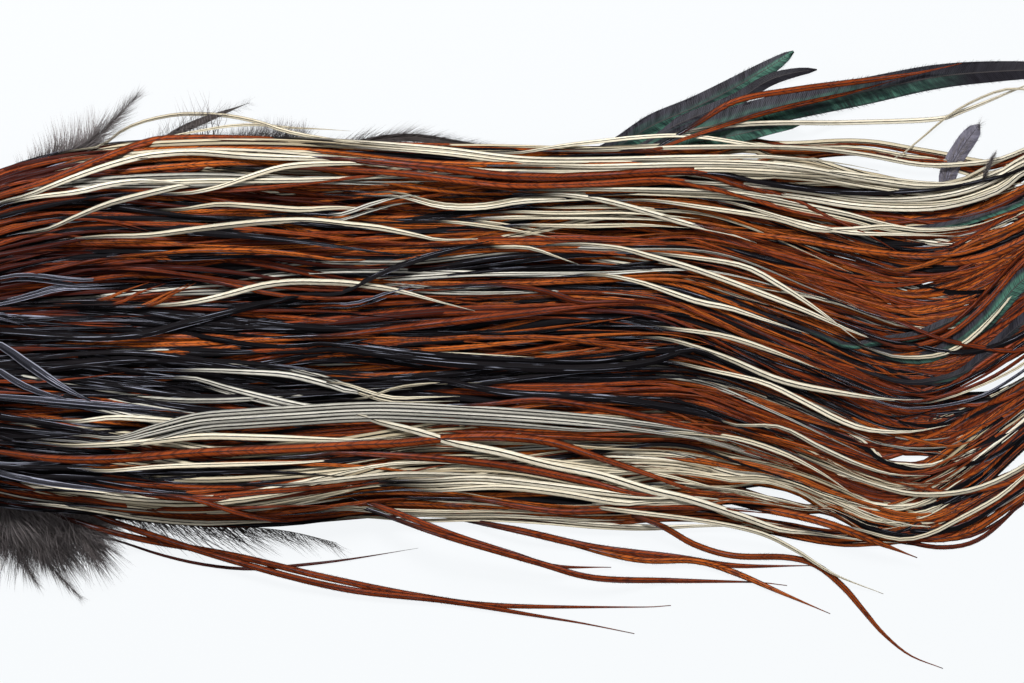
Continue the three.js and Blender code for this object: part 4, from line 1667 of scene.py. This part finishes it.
STRAYS = numbered("stray_hackle_{:02}", (
    Loose(F, 0.98, 0.45, "12,-43 33,-51 57,-58 87,-63.5 114,-70 141,-75.5 165,-78.5 207,-79 218,-78.5"),
    Loose(F, 0.98, 0.4, "18,-39 36,-47.5 63,-57.5 90,-66 120,-73.5 150,-77 177,-81.5 192,-84 207,-87"),
    Loose(B, 0.75, 0.8, "207,61 225,64.5 243,66.5 270,67 297,68 306,70.5 322,77 336,83"),
    Loose(F, 0.69, 0.2, "276,-55 288,-59 300,-61 311,-58.5 322,-49 334,-36"),
    Loose(F, 0.95, 0.5, "114,-43 135,-50 153,-57 171,-63 183,-66.5 200,-67"),
    Loose(F, 0.95, 0.55, "120,-47 150,-57 177,-65 195,-70 219,-71 243,-71.5 253,-72.5"),
    Loose(F, 1.1, 0.55, "147,-51 171,-55.5 195,-61 219,-64 237,-66.5 261,-66.5"),
    Loose(F, 0.95, 0.85, "180,-58 207,-64.5 225,-65 237,-68.5 252,-75 266,-81"),
    Loose(
        F, 0.95, 0.65,
        "192,-47 213,-53.5 225,-60 237,-63.5 253,-64 262,-66.5 270,-73 276,-80 282,-87 290,-93.5 300,-97.5",
    ),
    Loose(B, 0.7, 0.7, "180,-47 222,-52 243,-56 255,-61.5 267,-69 282,-75"),
    Loose(F, 1.2, 0.75, "234,-47 261,-52.5 279,-59 292,-64"),
    Loose(F, 0.95, 0.6, "213,59 225,66 237,73 255,76.5 273,79 290,81.5 305,84.5"),
))
GREENS = numbered("green_feather_{}", (
    Loose(E, 3.3, 0.7, "190,55 202,60 213,66.5 225,71.5 237,77.5 249,84.5 255,88.5"),
    Loose(E, 2.1, 0.1, "201,56 219,66 237,73.5 247,79.5 255,82 262,83"),
    Loose(
        E, 4.2, 0.55,
        "206,56 220,62.3 237,68 255,72.2 276,76.4 296,80.5 312,82.2 332,82.8 346,81",
        slims_from=0.35,
    ),
    Loose(E, 2.6, 0.8, "204,55 222,60 237,63 248,65.5 257,66.5"),
))


def heights_on(node: Object, line: np.ndarray) -> np.ndarray:
    """How high the top of one solid is along a line on the table.

    Args:
        node: the solid.
        line: the line in millimetres.

    Returns:
        The heights in millimetres, those past the solid's end like the nearest ones on it.
    """
    solid = solid_of(node)
    tops = [top_of(solid, x, y) for x, y in line]
    found = np.array([top is not None for top in tops])
    heights = np.array([top or 0.0 for top in tops])
    places = np.arange(len(line))
    return np.interp(places, places[found], heights[found])


class LooseFeathers:
    """The stray hackles or the green feathers, each a piece in place of its own node."""

    STATION = 2.5
    TUCK = 9.0  # how far its root is tucked under the hackles
    DEEPEST = 0.85  # and no more than this share of the solid's height
    TUCK_RUN = 34.0
    LOWEST = 0.2
    CLIMB = (4.0, 20.0)  # where along it a stray hackle climbs onto the green feathers
    ROLL = 0.08
    TWIST = 0.12
    TWIST_LENGTH = 90

    def __init__(self, nodes: dict[str, Object], greens: Ground, rng: np.random.Generator) -> None:
        """Keeps the solids that the feathers lie in and over.

        Args:
            nodes: the nodes by name.
            greens: the green feathers, which stray hackles cross over.
            rng: where the random numbers come from.
        """
        self.nodes = nodes
        self.greens = greens
        self.rng = rng

    def feather(self, name: str, loose: Loose, sink: float, taper: Taper, reach_from: float) -> Feather:
        """One feather in its solid.

        Args:
            name: the node.
            loose: the feather's form.
            sink: how far its centre line is under the solid's top.
            taper: how its width changes.
            reach_from: the share of its length that is hidden.

        Returns:
            The feather.
        """
        line = curve_through(places_in(loose.route), self.STATION)
        along = distances(line)
        height = heights_on(self.nodes[name], line)
        under = np.minimum(self.TUCK, self.DEEPEST * height) * (1 - ease(0, self.TUCK_RUN, along))
        height = np.maximum(height - sink - under, self.LOWEST)
        if loose.kind is not E:
            height = np.maximum(height, self.greens.over(line) * ease(*self.CLIMB, along))
        line = np.column_stack((line, softened(height, 2)))
        roll = self.rng.normal(0, self.ROLL) + self.TWIST * sway(along, self.TWIST_LENGTH, self.rng.random())
        wide = taper.widths(loose.half_width, along / along[-1])
        return Feather(loose.kind, line, wide, roll, loose.tone, reach_from)


@dataclass(frozen=True)
class DownFeather:
    """A downy feather or a plume of a tuft, in millimetres and radians."""

    route: tuple[Pair, ...]
    hair: float
    height: float = 1.0
    tone: float = 0.5
    spacing: float = 0.12
    angles: Pair = (0.1, 0.6)  # between its hairs and its shaft
    vane: float = 0.0  # the half width of its firm part, if it has one
    one_sided: bool = False


DOWNY = {
    "downy_feather_1": DownFeather(
        ((31, 54), (40, 58.5), (48, 65), (57, 75)), 11.5, tone=0.55, spacing=0.1, angles=(0.08, 0.75),
    ),
    "downy_feather_2": DownFeather(
        ((58, 57), (68, 63.5), (78, 68), (91, 73)), 8.5, tone=0.2, spacing=0.3, angles=(0.35, 1.2), vane=1.15,
    ),
    "downy_feather_3": DownFeather(
        ((104, 55), (120, 60), (138, 62.5), (156, 60.5), (174, 58)), 8.5,
        tone=0.05, angles=(0.3, 0.85), vane=1.2,
    ),
    "downy_feather_4": DownFeather(
        ((44, -46), (62, -51), (82, -54), (102, -56), (117, -59.5)), 19.0,
        tone=0.15, spacing=0.17, angles=(0.35, 0.85), one_sided=True,
    ),
    "downy_feather_5": DownFeather(
        ((300, 44), (302, 53), (306, 60), (311, 66.5)), 7.0,
        tone=1.0, spacing=0.1, angles=(0.3, 0.7), vane=2.7,
    ),
}

# Soft hairs that stand out along the upper edge, beside the skin
FRINGES = (
    DownFeather(((45, 57.5), (33, 55), (21, 51)), 15.0, 1.5, 0.6, 0.06, (1.8, 2.35), one_sided=True),
    DownFeather(((46, 57), (34, 55), (22, 51)), 9.5, 2.4, 0.3, 0.05, (1.6, 2.5), one_sided=True),
    DownFeather(((82, 62), (73, 61.5), (63, 59.5)), 15.0, 1.2, 0.3, 0.3, (1.4, 2.2), one_sided=True),
    DownFeather(((107, 60.5), (94, 62), (80, 61.5)), 8.0, 1.2, 0.0, 0.028, (1.6, 2.6), one_sided=True),
    DownFeather(((311.5, 49), (313, 53), (315, 57)), 5.5, 3.5, 0.1, 0.04, (0.1, 0.45)),
)


@dataclass(frozen=True)
class DownFinish:
    """Dull grey-brown down."""

    name: str = "grey_down"
    slot: str = "down"
    dark: Colour = (0.038, 0.03, 0.028)
    light: Colour = (0.22, 0.195, 0.195)
    SCALES = (160.0, 1500.0)  # of its clouds and of its hairs
    RELIEF = 0.00003
    LIGHTER = (0.25, 1.25)  # from where to where the sum of what makes a hair light counts
    LEAST_ROUGH = 0.8
    ROUGHER = 0.1
    GLOSS = 0.25

    def paint(self) -> Material:
        """Builds the material.

        Returns:
            The material.
        """
        paint = Paint(self.name)
        tip, reach, tone = paint.stored("tip", "reach", "tone")
        cloud, fine = (paint.noise(paint.place(), scale) for scale in self.SCALES)
        share = (tip * 0.55 + tone * 0.5 + cloud * 0.5 + fine * 0.3 - reach * 0.2).rise(*self.LIGHTER)
        colour = paint.blend(share, self.dark, self.light)
        rough = cloud * self.ROUGHER + self.LEAST_ROUGH
        return paint.finish(colour, rough, fine, self.RELIEF, Specular_IOR_Level=self.GLOSS)


class Down:
    """Grows down: slim shafts with long soft hairs to both sides."""

    STATION = 2.0
    SHAFT_RADIUS = 0.1
    SHAFT_SIDES = 4
    SHAFT_TAPER = 0.85
    LOWEST = 0.4
    SINK = 0.5  # from the top of a downy feather's solid to its shaft

    # A hair whose length is 1
    HAIR_RINGS = 2
    HAIR_SIDES = 3
    HAIR_RADIUS = 0.008
    HAIR_TAPER = 0.75
    HAIR_BEND = 0.2

    # Limits between which hairs differ, as angles and as shares of their length
    UPWARD = (-0.16, 0.22)
    TURNED = (-0.7, 0.7)
    LENGTHS = (0.45, 1.05)
    SHORTER = (0.35, 0.55)  # from this share of the shaft on, and by how much at its tip

    # The down beside the skin: short shafts with long hairs, and two longer wisps as (root x, y, tip x, y)
    TUFTS = 80
    TUFTS_AT = (10, -40)
    TUFTS_SPAN = (33, -4)  # from the first shaft to the last
    TUFTS_DEPTH = 14
    TUFT_TURN = (-1.3, 0.35)
    TUFT_LENGTHS = (4, 9)
    TUFT_HAIRS = (9, 24)
    TUFT_HEIGHTS = (0.5, 3.2)
    TUFT_TONES = (0.1, 0.9)
    TUFT_BEND = 0.6
    WISPS = ((20, -56, 27, -72), (24, -57, 40, -76))
    WISP_HAIRS = (8, 12)
    WISP_TONE = 0.6
    WISP_BEND = 1

    def __init__(self, nodes: dict[str, Object], rng: np.random.Generator) -> None:
        """Builds the hair and the tree.

        Args:
            nodes: the nodes by name.
            rng: where the random numbers come from.
        """
        self.nodes = nodes
        self.rng = rng
        self.hair = self._make_hair()
        self.growth = self._make_growth()

    def _make_hair(self) -> Object:
        """A tapered, slightly bent hair of length 1.

        Returns:
            The hair, along the X axis.
        """
        sides = self.HAIR_SIDES
        points, faces = [], [(0, 2, 1)]
        for ring in range(self.HAIR_RINGS):
            share = ring / self.HAIR_RINGS
            radius = self.HAIR_RADIUS * (1 - self.HAIR_TAPER * share)
            bend = self.HAIR_BEND * share**2
            for corner in range(sides):
                turn = 2 * math.pi * corner / sides
                points.append((share, bend + radius * math.cos(turn), radius * math.sin(turn)))
        end = len(points)
        points.append((1.0, self.HAIR_BEND, 0.0))
        for ring in range(self.HAIR_RINGS):
            for corner in range(sides):
                a, b = sides * ring + corner, sides * ring + (corner + 1) % sides
                faces.append((a, b, end) if ring == self.HAIR_RINGS - 1 else (a, b, b + sides, a + sides))
        mesh = bpy.data.meshes.new("hair")
        mesh.from_pydata(points, [], faces)
        store(mesh, "tip", [point[0] for point in points])
        return place_mesh("hair", mesh)

    def _make_growth(self) -> Growth:
        """The tree: shafts, and hairs at even distances, each turned its own way.

        Returns:
            The tree.
        """
        growth = Growth("down_hairs", {
            "Hair": "NodeSocketObject",
            "Hair Spacing": "NodeSocketFloat",
            "Least Angle": "NodeSocketFloat",
            "Most Angle": "NodeSocketFloat",
            "Shaft Radius": "NodeSocketFloat",
            "Material": "NodeSocketMaterial",
        })
        put = growth.put
        curve = growth.curves()
        circle = {"Resolution": self.SHAFT_SIDES, "Radius": growth.source.other("Shaft Radius")}
        ring = put("GeometryNodeCurvePrimitiveCircle", {"mode": "RADIUS"}, circle)
        parts = [growth.swept(curve, ring, 1.0 - growth.stored("reach") * self.SHAFT_TAPER)]
        least, most = growth.source.other("Least Angle"), growth.source.other("Most Angle")
        for side in (1, -1):
            seed = SEED + side  # with another number added for each further draw
            points, turn = growth.stations(curve, "Hair Spacing")
            out = (least + (most - least) * growth.chance((0.0, 1.0), seed)) * side
            up = growth.chance(self.UPWARD, seed + 10)
            back = growth.chance(self.TURNED, seed + 20) + (math.pi if side == 1 else 0.0)
            for axis, angle in (((0, 0, 1), out), ((0, 1, 0), up), ((1, 0, 0), back)):
                spin = put("FunctionNodeAxisAngleToRotation", {}, {"Axis": axis, "Angle": angle})
                both = {"Rotation": turn, "Rotate By": spin}
                turn = put("FunctionNodeRotateRotation", {"rotation_space": "LOCAL"}, both)
            parts.append(put("GeometryNodeInstanceOnPoints", {}, {
                "Points": points,
                "Selection": True if side == 1 else growth.stored("bare") < 0.5,
                "Instance": growth.shape("Hair"),
                "Rotation": turn,
                "Scale": growth.stored("wide") * growth.chance(self.LENGTHS, seed + 40),
            }))
        growth.end(*parts)
        return growth

    def plume(self, plume: DownFeather, height: np.ndarray | None = None) -> Feather:
        """One plume as a feather whose half width is the length of its hairs.

        Args:
            plume: its form.
            height: the height of each point of its shaft, if it isn't the same all along.

        Returns:
            The feather.
        """
        line = curve_through(np.array(plume.route, dtype=float), self.STATION)
        along = distances(line)
        heights = np.full(len(line), plume.height) if height is None else height
        start, less = self.SHORTER
        hairs = plume.hair * (1 - less * ease(start, 1.0, along / along[-1]))
        line = np.column_stack((line, heights))
        feather = Feather(Kind.BLACK, line, hairs, np.zeros(len(line)), plume.tone)
        feather.bare = 1.0 if plume.one_sided else 0.0
        return feather

    def downy(self, name: str) -> Feather:
        """The plume of one downy feather's node.

        Args:
            name: the node.

        Returns:
            The plume.
        """
        form = DOWNY[name]
        line = curve_through(np.array(form.route, dtype=float), self.STATION)
        height = np.maximum(heights_on(self.nodes[name], line) - self.SINK, self.LOWEST)
        return self.plume(form, height)

    def side_tufts(self) -> list[Feather]:
        """The down at the lower side of the skin: short shafts that each carry a spray of long hairs.

        Returns:
            The plumes.
        """
        rng = self.rng
        tufts = []
        for number in range(self.TUFTS):
            across = (number + rng.random()) / self.TUFTS
            start = np.array(self.TUFTS_AT) + np.array(self.TUFTS_SPAN) * across
            start[1] -= self.TUFTS_DEPTH * rng.random()
            first_turn, spread = self.TUFT_TURN
            turn = rng.normal(first_turn + spread * across, spread)
            ahead = np.array((math.cos(turn), math.sin(turn)))
            bend = rng.normal(0, self.TUFT_BEND) * np.array((-ahead[1], ahead[0]))
            reach = rng.uniform(*self.TUFT_LENGTHS)
            route = (start, start + ahead * reach / 2 + bend, start + ahead * reach)
            sizes = [rng.uniform(*limits) for limits in (self.TUFT_HAIRS, self.TUFT_HEIGHTS, self.TUFT_TONES)]
            tufts.append(DownFeather(route, *sizes))
        for x, y, tip_x, tip_y in self.WISPS:
            route = ((x, y), ((x + tip_x) / 2 - self.WISP_BEND, (y + tip_y) / 2), (tip_x, tip_y))
            tufts.append(DownFeather(route, rng.uniform(*self.WISP_HAIRS), tone=self.WISP_TONE))
        return [self.plume(tuft) for tuft in tufts]

    def grow(
        self, name: str, feathers: list[Feather], material: Material, form: DownFeather | None = None
    ) -> Object:
        """Makes one piece of plumes.

        Args:
            name: the piece's name.
            feathers: its plumes.
            material: its finish.
            form: how closely its hairs stand and how far they spread, if not as in a tuft.

        Returns:
            The piece.
        """
        form = form or DownFeather((), 0.0)
        return self.growth.grow(name, centre_lines(name, feathers), {
            "Hair": self.hair,
            "Hair Spacing": form.spacing * MM,
            "Least Angle": form.angles[0],
            "Most Angle": form.angles[1],
            "Shaft Radius": self.SHAFT_RADIUS * MM,
            "Material": material,
        })

    def clear_away(self) -> None:
        """Removes the hair that only the tree uses."""
        bpy.data.objects.remove(self.hair)


def keep_off_table(piece: Object) -> None:
    """Lifts what a piece has below the table onto it.

    Args:
        piece: the piece.
    """
    places = np.empty(3 * len(piece.data.vertices), dtype=np.float32)
    piece.data.vertices.foreach_get("co", places)
    places[2::3] = np.maximum(places[2::3], OFF_TABLE)
    piece.data.vertices.foreach_set("co", places)
    piece.data.update()


@dataclass(frozen=True)
class SkinFinish:
    """Dried skin: yellowish parchment, darker where it is thick and round each root."""

    name: str = "dried_skin"
    slot: str = "saddle"
    pale: Colour = (0.52, 0.36, 0.19)
    tan: Colour = (0.27, 0.15, 0.065)
    brown: Colour = (0.10, 0.045, 0.02)
    CLOUDS = 45.0
    GRAIN = 700.0
    RELIEF = 0.0002
    CLOUDY = (0.35, 0.7)  # from where to where in the noise each pattern fades in
    GRAINY = (0.45, 0.75)
    GRAIN_SHADE = 0.4
    ROOT_SHADE = 0.8
    LEAST_ROUGH = 0.4
    ROUGHER = 0.25

    def paint(self) -> Material:
        """Builds the material.

        Returns:
            The material.
        """
        paint = Paint(self.name)
        cloud = paint.noise(paint.place(), self.CLOUDS, 4.0)
        fine = paint.noise(paint.place(), self.GRAIN, 3.0)
        colour = paint.blend(cloud.rise(*self.CLOUDY), self.pale, self.tan)
        colour = paint.blend(fine.rise(*self.GRAINY) * self.GRAIN_SHADE, colour, self.tan)
        colour = paint.blend(paint.stored("root")[0] * self.ROOT_SHADE, colour, self.brown)
        rough = cloud * self.ROUGHER + self.LEAST_ROUGH
        return paint.finish(colour, rough, fine * 0.6 + cloud * 0.4, self.RELIEF)


@dataclass(frozen=True)
class Skin:
    """The dried skin, a rounded shield with rows of small raised roots."""

    length: float = 96.0
    width: float = 112.0
    thickness: float = 1.8
    squareness: float = 0.72
    turns: int = 192
    rings: int = 60
    root_spacing: float = 4.6
    root_height: float = 0.55
    root_radius: float = 0.9
    underside: float = 0.02
    rim: float = 0.82  # the share of its size where it gets thinner towards its edge
    rim_thinner: float = 0.45
    waviness: float = 0.25
    wave_lengths: Pair = (9, 12)  # along and across, for one radian
    level_from: float = 0.9  # the share of its size from which waves and roots level out
    FULL = 0.95  # how much of its length and width the edge fills, apart from the waves round it
    WAVES = ((3, 0.02, 0.6), (7, 0.02, 0.0), (12, 0.01, math.pi / 2))  # count, size and phase
    NARROWER = 0.03  # towards the roots' end
    CROWDING = 0.85  # below 1, the rings of points are closer together towards the edge

    def outline(self) -> np.ndarray:
        """The cut edge, one row for each turn.

        Returns:
            X and Y in millimetres, one row each.
        """
        turn = 2 * math.pi * np.arange(self.turns) / self.turns
        uneven = self.FULL + sum(size * np.sin(count * turn + phase) for count, size, phase in self.WAVES)
        squared = [np.sign(v) * np.abs(v) ** self.squareness for v in (np.cos(turn), np.sin(turn))]
        wider = 1 - self.NARROWER + self.NARROWER * np.cos(turn)
        return np.column_stack((
            self.length / 2 * uneven * squared[0], self.width / 2 * uneven * squared[1] * wider,
        ))

    def build(self, name: str) -> Object:
        """Makes the skin.

        Args:
            name: the piece's name.

        Returns:
            The piece, closed all round, with how near each point is to a root stored on it.
        """
        edge = self.outline()
        shares = (np.arange(1, self.rings + 1) / self.rings) ** self.CROWDING
        flat = np.vstack((np.zeros((1, 2)), *(edge * share for share in shares)))
        inward = np.concatenate(([0.0], np.repeat(shares, self.turns)))
        roots = self._near_root(flat)
        thin = 1 - self.rim_thinner * ease(self.rim, 1.0, inward)
        lengthwise, crosswise = self.wave_lengths
        dried = self.waviness * np.sin(flat[:, 0] / lengthwise) * np.sin(flat[:, 1] / crosswise + 1)
        level = 1 - ease(self.level_from, 1.0, inward)
        height = self.thickness * thin + (dried + self.root_height * roots) * level
        top = np.column_stack((flat, height))
        bottom = np.column_stack((edge, np.full(self.turns, self.underside)))
        points = np.vstack((top, bottom, [(0, 0, self.underside)])) * MM
        mesh = bpy.data.meshes.new(name)
        mesh.from_pydata(points.tolist(), [], self._faces(len(top)))
        store(mesh, "root", np.concatenate((roots, np.zeros(self.turns + 1))).astype(np.float32))
        mesh.polygons.foreach_set("use_smooth", [True] * len(mesh.polygons))
        mesh.materials.append(SkinFinish().paint())
        return place_mesh(name, mesh)

    def _near_root(self, flat: np.ndarray) -> np.ndarray:
        """How near a root each point is: 1 on it and 0 away from it.

        Args:
            flat: X and Y of the points.

        Returns:
            A number for each.
        """
        row = np.round(flat[:, 1] / self.root_spacing)
        shift = 0.5 * (row % 2)
        column = np.round(flat[:, 0] / self.root_spacing - shift)
        from_root = flat - np.column_stack((column + shift, row)) * self.root_spacing
        away = np.hypot(*from_root.T)
        return np.exp(-((away / self.root_radius) ** 2))

    def _faces(self, first_below: int) -> list[tuple[int, ...]]:
        """The faces of the top, the rim and the underside.

        Args:
            first_below: the number of the underside's first point.

        Returns:
            The points of each face, by number.
        """
        n = self.turns
        after = [(i + 1) % n for i in range(n)]
        faces = [(0, 1 + i, 1 + after[i]) for i in range(n)]
        for ring in range(self.rings - 1):
            inner, outer = 1 + ring * n, 1 + (ring + 1) * n
            faces += [(inner + i, outer + i, outer + after[i], inner + after[i]) for i in range(n)]
        rim = 1 + (self.rings - 1) * n
        faces += [(rim + i, first_below + i, first_below + after[i], rim + after[i]) for i in range(n)]
        faces += [(first_below + n, first_below + after[i], first_below + i) for i in range(n)]
        return faces


@dataclass(frozen=True)
class Lamp:
    """A square lamp: its name, its place in metres, its size and its power."""

    name: str
    place: Triple
    size: float
    power: float


@dataclass(frozen=True)
class Studio:
    """A pale floor, soft light and a camera that looks straight down."""

    distance: float = 1.25
    sensor: float = 36.0
    sees: float = 10.0  # metres
    frame_height: float = 6.0
    floor_size: float = 3.0
    floor_glow: float = 0.92
    floor_tint: Colour = (0.955, 0.98, 1.0)
    floor_pale: Colour = (0.05, 0.05, 0.05)
    floor_paler: Colour = (0.055, 0.055, 0.055)
    floor_clouds: float = 4.0
    floor_dullness: float = 0.9
    surround: Colour = (0.94, 0.955, 1.0)
    surround_strength: float = 0.16
    lamps: tuple[Lamp, ...] = (
        Lamp("key", (-0.05, 0.62, 0.58), 0.25, 12.5),
        Lamp("fill", (0.55, -0.35, 0.8), 0.5, 2.0),
    )
    aim: Triple = (0.17, 0, 0)  # the middle of the saddle

    def build(self) -> None:
        """Makes the floor, the light and the camera."""
        self._floor()
        self._surround()
        for lamp in self.lamps:
            self._lamp(lamp)
        self._camera()

    def _floor(self) -> None:
        """A plain pale plane at Z = 0."""
        half = self.floor_size / 2
        corners = [(-half, -half, 0), (half, -half, 0), (half, half, 0), (-half, half, 0)]
        mesh = bpy.data.meshes.new("floor")
        mesh.from_pydata(corners, [], [(0, 1, 2, 3)])
        floor = place_mesh("floor", mesh)
        paint = Paint("floor")
        pale = paint.blend(paint.noise(paint.place(), self.floor_clouds), self.floor_pale, self.floor_paler)
        glow = {"Emission_Color": (*self.floor_tint, 1.0), "Emission_Strength": self.floor_glow}
        mesh.materials.append(paint.finish(pale, self.floor_dullness, Specular_IOR_Level=0.0, **glow))

    def _surround(self) -> None:
        """Bright, faintly cool light from all round."""
        world = bpy.data.worlds.new("studio")
        world.use_nodes = True
        backdrop = world.node_tree.nodes["Background"]
        backdrop.inputs["Color"].default_value = (*self.surround, 1.0)
        backdrop.inputs["Strength"].default_value = self.surround_strength
        bpy.context.scene.world = world
        bpy.context.scene.view_settings.view_transform = "Standard"

    def _lamp(self, lamp: Lamp) -> None:
        """One lamp, aimed at the saddle.

        Args:
            lamp: its name, place, size and power.
        """
        data = bpy.data.lights.new(lamp.name, "AREA")
        data.size = lamp.size
        data.energy = lamp.power
        light = bpy.data.objects.new(lamp.name, data)
        light.location = lamp.place
        light.rotation_mode = "QUATERNION"
        light.rotation_quaternion = (Vector(self.aim) - Vector(lamp.place)).to_track_quat("-Z", "Y")
        bpy.context.scene.collection.objects.link(light)

    def _camera(self) -> None:
        """The camera over the middle of the photograph's frame."""
        data = bpy.data.cameras.new("camera")
        data.sensor_width = self.sensor
        data.lens = self.sensor * self.distance / (PHOTO_SIZE[0] * PIXEL * MM)
        data.clip_end = self.sees
        camera = bpy.data.objects.new("camera", data)
        x = (PHOTO_SIZE[0] / 2 - PIXEL_ORIGIN[0]) * PIXEL * MM
        y = (PIXEL_ORIGIN[1] - PHOTO_SIZE[1] / 2) * PIXEL * MM
        camera.location = (x, y, self.distance + self.frame_height * MM)
        bpy.context.scene.collection.objects.link(camera)
        bpy.context.scene.camera = camera


def in_layers(feathers: list[Feather]) -> list[list[Feather]]:
    """Parts the hackles of one kind, from the table up, into layers of about the same length in all.

    Args:
        feathers: the hackles, from the table up.

    Returns:
        The layers, from the table up.
    """
    lengths = np.cumsum([len(f.line) for f in feathers])
    count = int(lengths[-1] // LAYER_STATIONS) + 1
    layers: list[list[Feather]] = [[] for _ in range(count)]
    for feather, so_far in zip(feathers, lengths):
        layers[min(count - 1, int((so_far - 1) * count // lengths[-1]))].append(feather)
    return layers


def dress(piece: Object, slot: str, *nodes: str) -> None:
    """Lets a piece ride with the saddle, in place of the nodes that it stands for.

    Args:
        piece: the piece.
        slot: its material slot; not used.
        *nodes: the nodes that it stands for.
    """
    keep_off_table(piece)
    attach(piece, "root")
    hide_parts(*nodes)
    piece.data.calc_loop_triangles()
    log.info("%s: %d triangles", piece.name, len(piece.data.loop_triangles))


class Dresser:
    """Makes every feather of the part, piece by piece."""

    # How far a loose feather lies under its solid's top, and the share of its length that is hidden
    STRAY_SINK, STRAY_HIDDEN = 0.6, 0.04
    GREEN_SINK, GREEN_HIDDEN = 0.5, 0.22

    def __init__(self) -> None:
        """Sets up what grows feathers, and the finish and the material of each kind."""
        self.vanes = Vanes(Blade())
        self.webs = Vanes(WEB_BLADE)
        self.finishes = {kind: (FINISHES[kind], FINISHES[kind].paint()) for kind in Kind}

    def pile(self, hackles: list[Feather]) -> None:
        """The hackles of the saddle, layer by layer and kind by kind.

        Args:
            hackles: the hackles, from the table up.
        """
        for kind, (finish, material) in self.finishes.items():
            grower = self.webs if kind is E else self.vanes
            for number, layer in enumerate(in_layers([f for f in hackles if f.kind is kind]), start=1):
                piece = grower.grow(f"{kind.value}_hackles_{number}", layer, material, PILE_BARBS)
                dress(piece, finish.slot, "saddle")

    def loose(self, feathers: LooseFeathers) -> None:
        """The stray hackles and the green feathers, each in place of its own node.

        Args:
            feathers: what lays each in its solid.
        """
        for node, form in STRAYS.items():
            feather = feathers.feather(node, form, self.STRAY_SINK, STRAY_TAPER, self.STRAY_HIDDEN)
            piece = self.vanes.grow(node + "_feather", [feather], self.finishes[form.kind][1], STRAY_BARBS)
            dress(piece, form.kind.value, node)
        for node, form in GREENS.items():
            taper = Taper(root=0.6, full_at=0.35, slims_from=form.slims_from, blunt=True)
            feather = feathers.feather(node, form, self.GREEN_SINK, taper, self.GREEN_HIDDEN)
            finish, material = self.finishes[form.kind]
            dress(self.webs.grow(node + "_feather", [feather], material, WEB_BARBS), finish.slot, node)

    def down(self, down: Down) -> None:
        """The downy feathers, the down beside the skin and the fringes.

        Args:
            down: what grows them.
        """
        grey = DownFinish()
        soft, firm = grey.paint(), GREY_WEB.paint()
        for node, form in DOWNY.items():
            plume = down.downy(node)
            dress(down.grow(node + "_plume", [plume], soft, form), grey.slot, node)
            if form.vane:
                share = distances(plume.line) / distances(plume.line)[-1]
                webby = form.vane > WIDE_VANE
                wide = (WEBBY_TAPER if webby else SOFT_TAPER).widths(form.vane, share)
                vane = Feather(plume.kind, plume.line, wide, plume.roll, plume.tone)
                piece = self.webs.grow(node + "_vane", [vane], firm if webby else soft, WEB_BARBS)
                dress(piece, grey.slot, node)
        dress(down.grow("side_down", down.side_tufts(), soft), grey.slot, "saddle")
        for number, fringe in enumerate(FRINGES, start=1):
            dress(down.grow(f"fringe_{number}", [down.plume(fringe)], soft, fringe), grey.slot, "saddle")


def main() -> None:
    """Builds every piece of the saddle and the studio round it."""
    logging.basicConfig(level=logging.INFO, format="%(message)s")
    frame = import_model()
    nodes = frame["nodes"]
    rng = np.random.default_rng(SEED)
    greens = [nodes[name] for name in GREENS]
    ground = Ground([nodes["saddle"], *greens], PILE_BLUR)
    beneath = Ground(greens, 0)
    hackles = Hackles(Flow(), ground, beneath, rng).all()
    log.info("%d hackles, pile %.1f mm high", len(hackles), ground.heights.max())
    dresser = Dresser()
    dresser.pile(hackles)
    dresser.loose(LooseFeathers(nodes, beneath, rng))
    down = Down(nodes, rng)
    dresser.down(down)
    for grower in (dresser.vanes, dresser.webs, down):
        grower.clear_away()
    dress(Skin().build("skin"), SkinFinish().slot, "saddle")
    Studio().build()


if __name__ == "__main__":
    main()
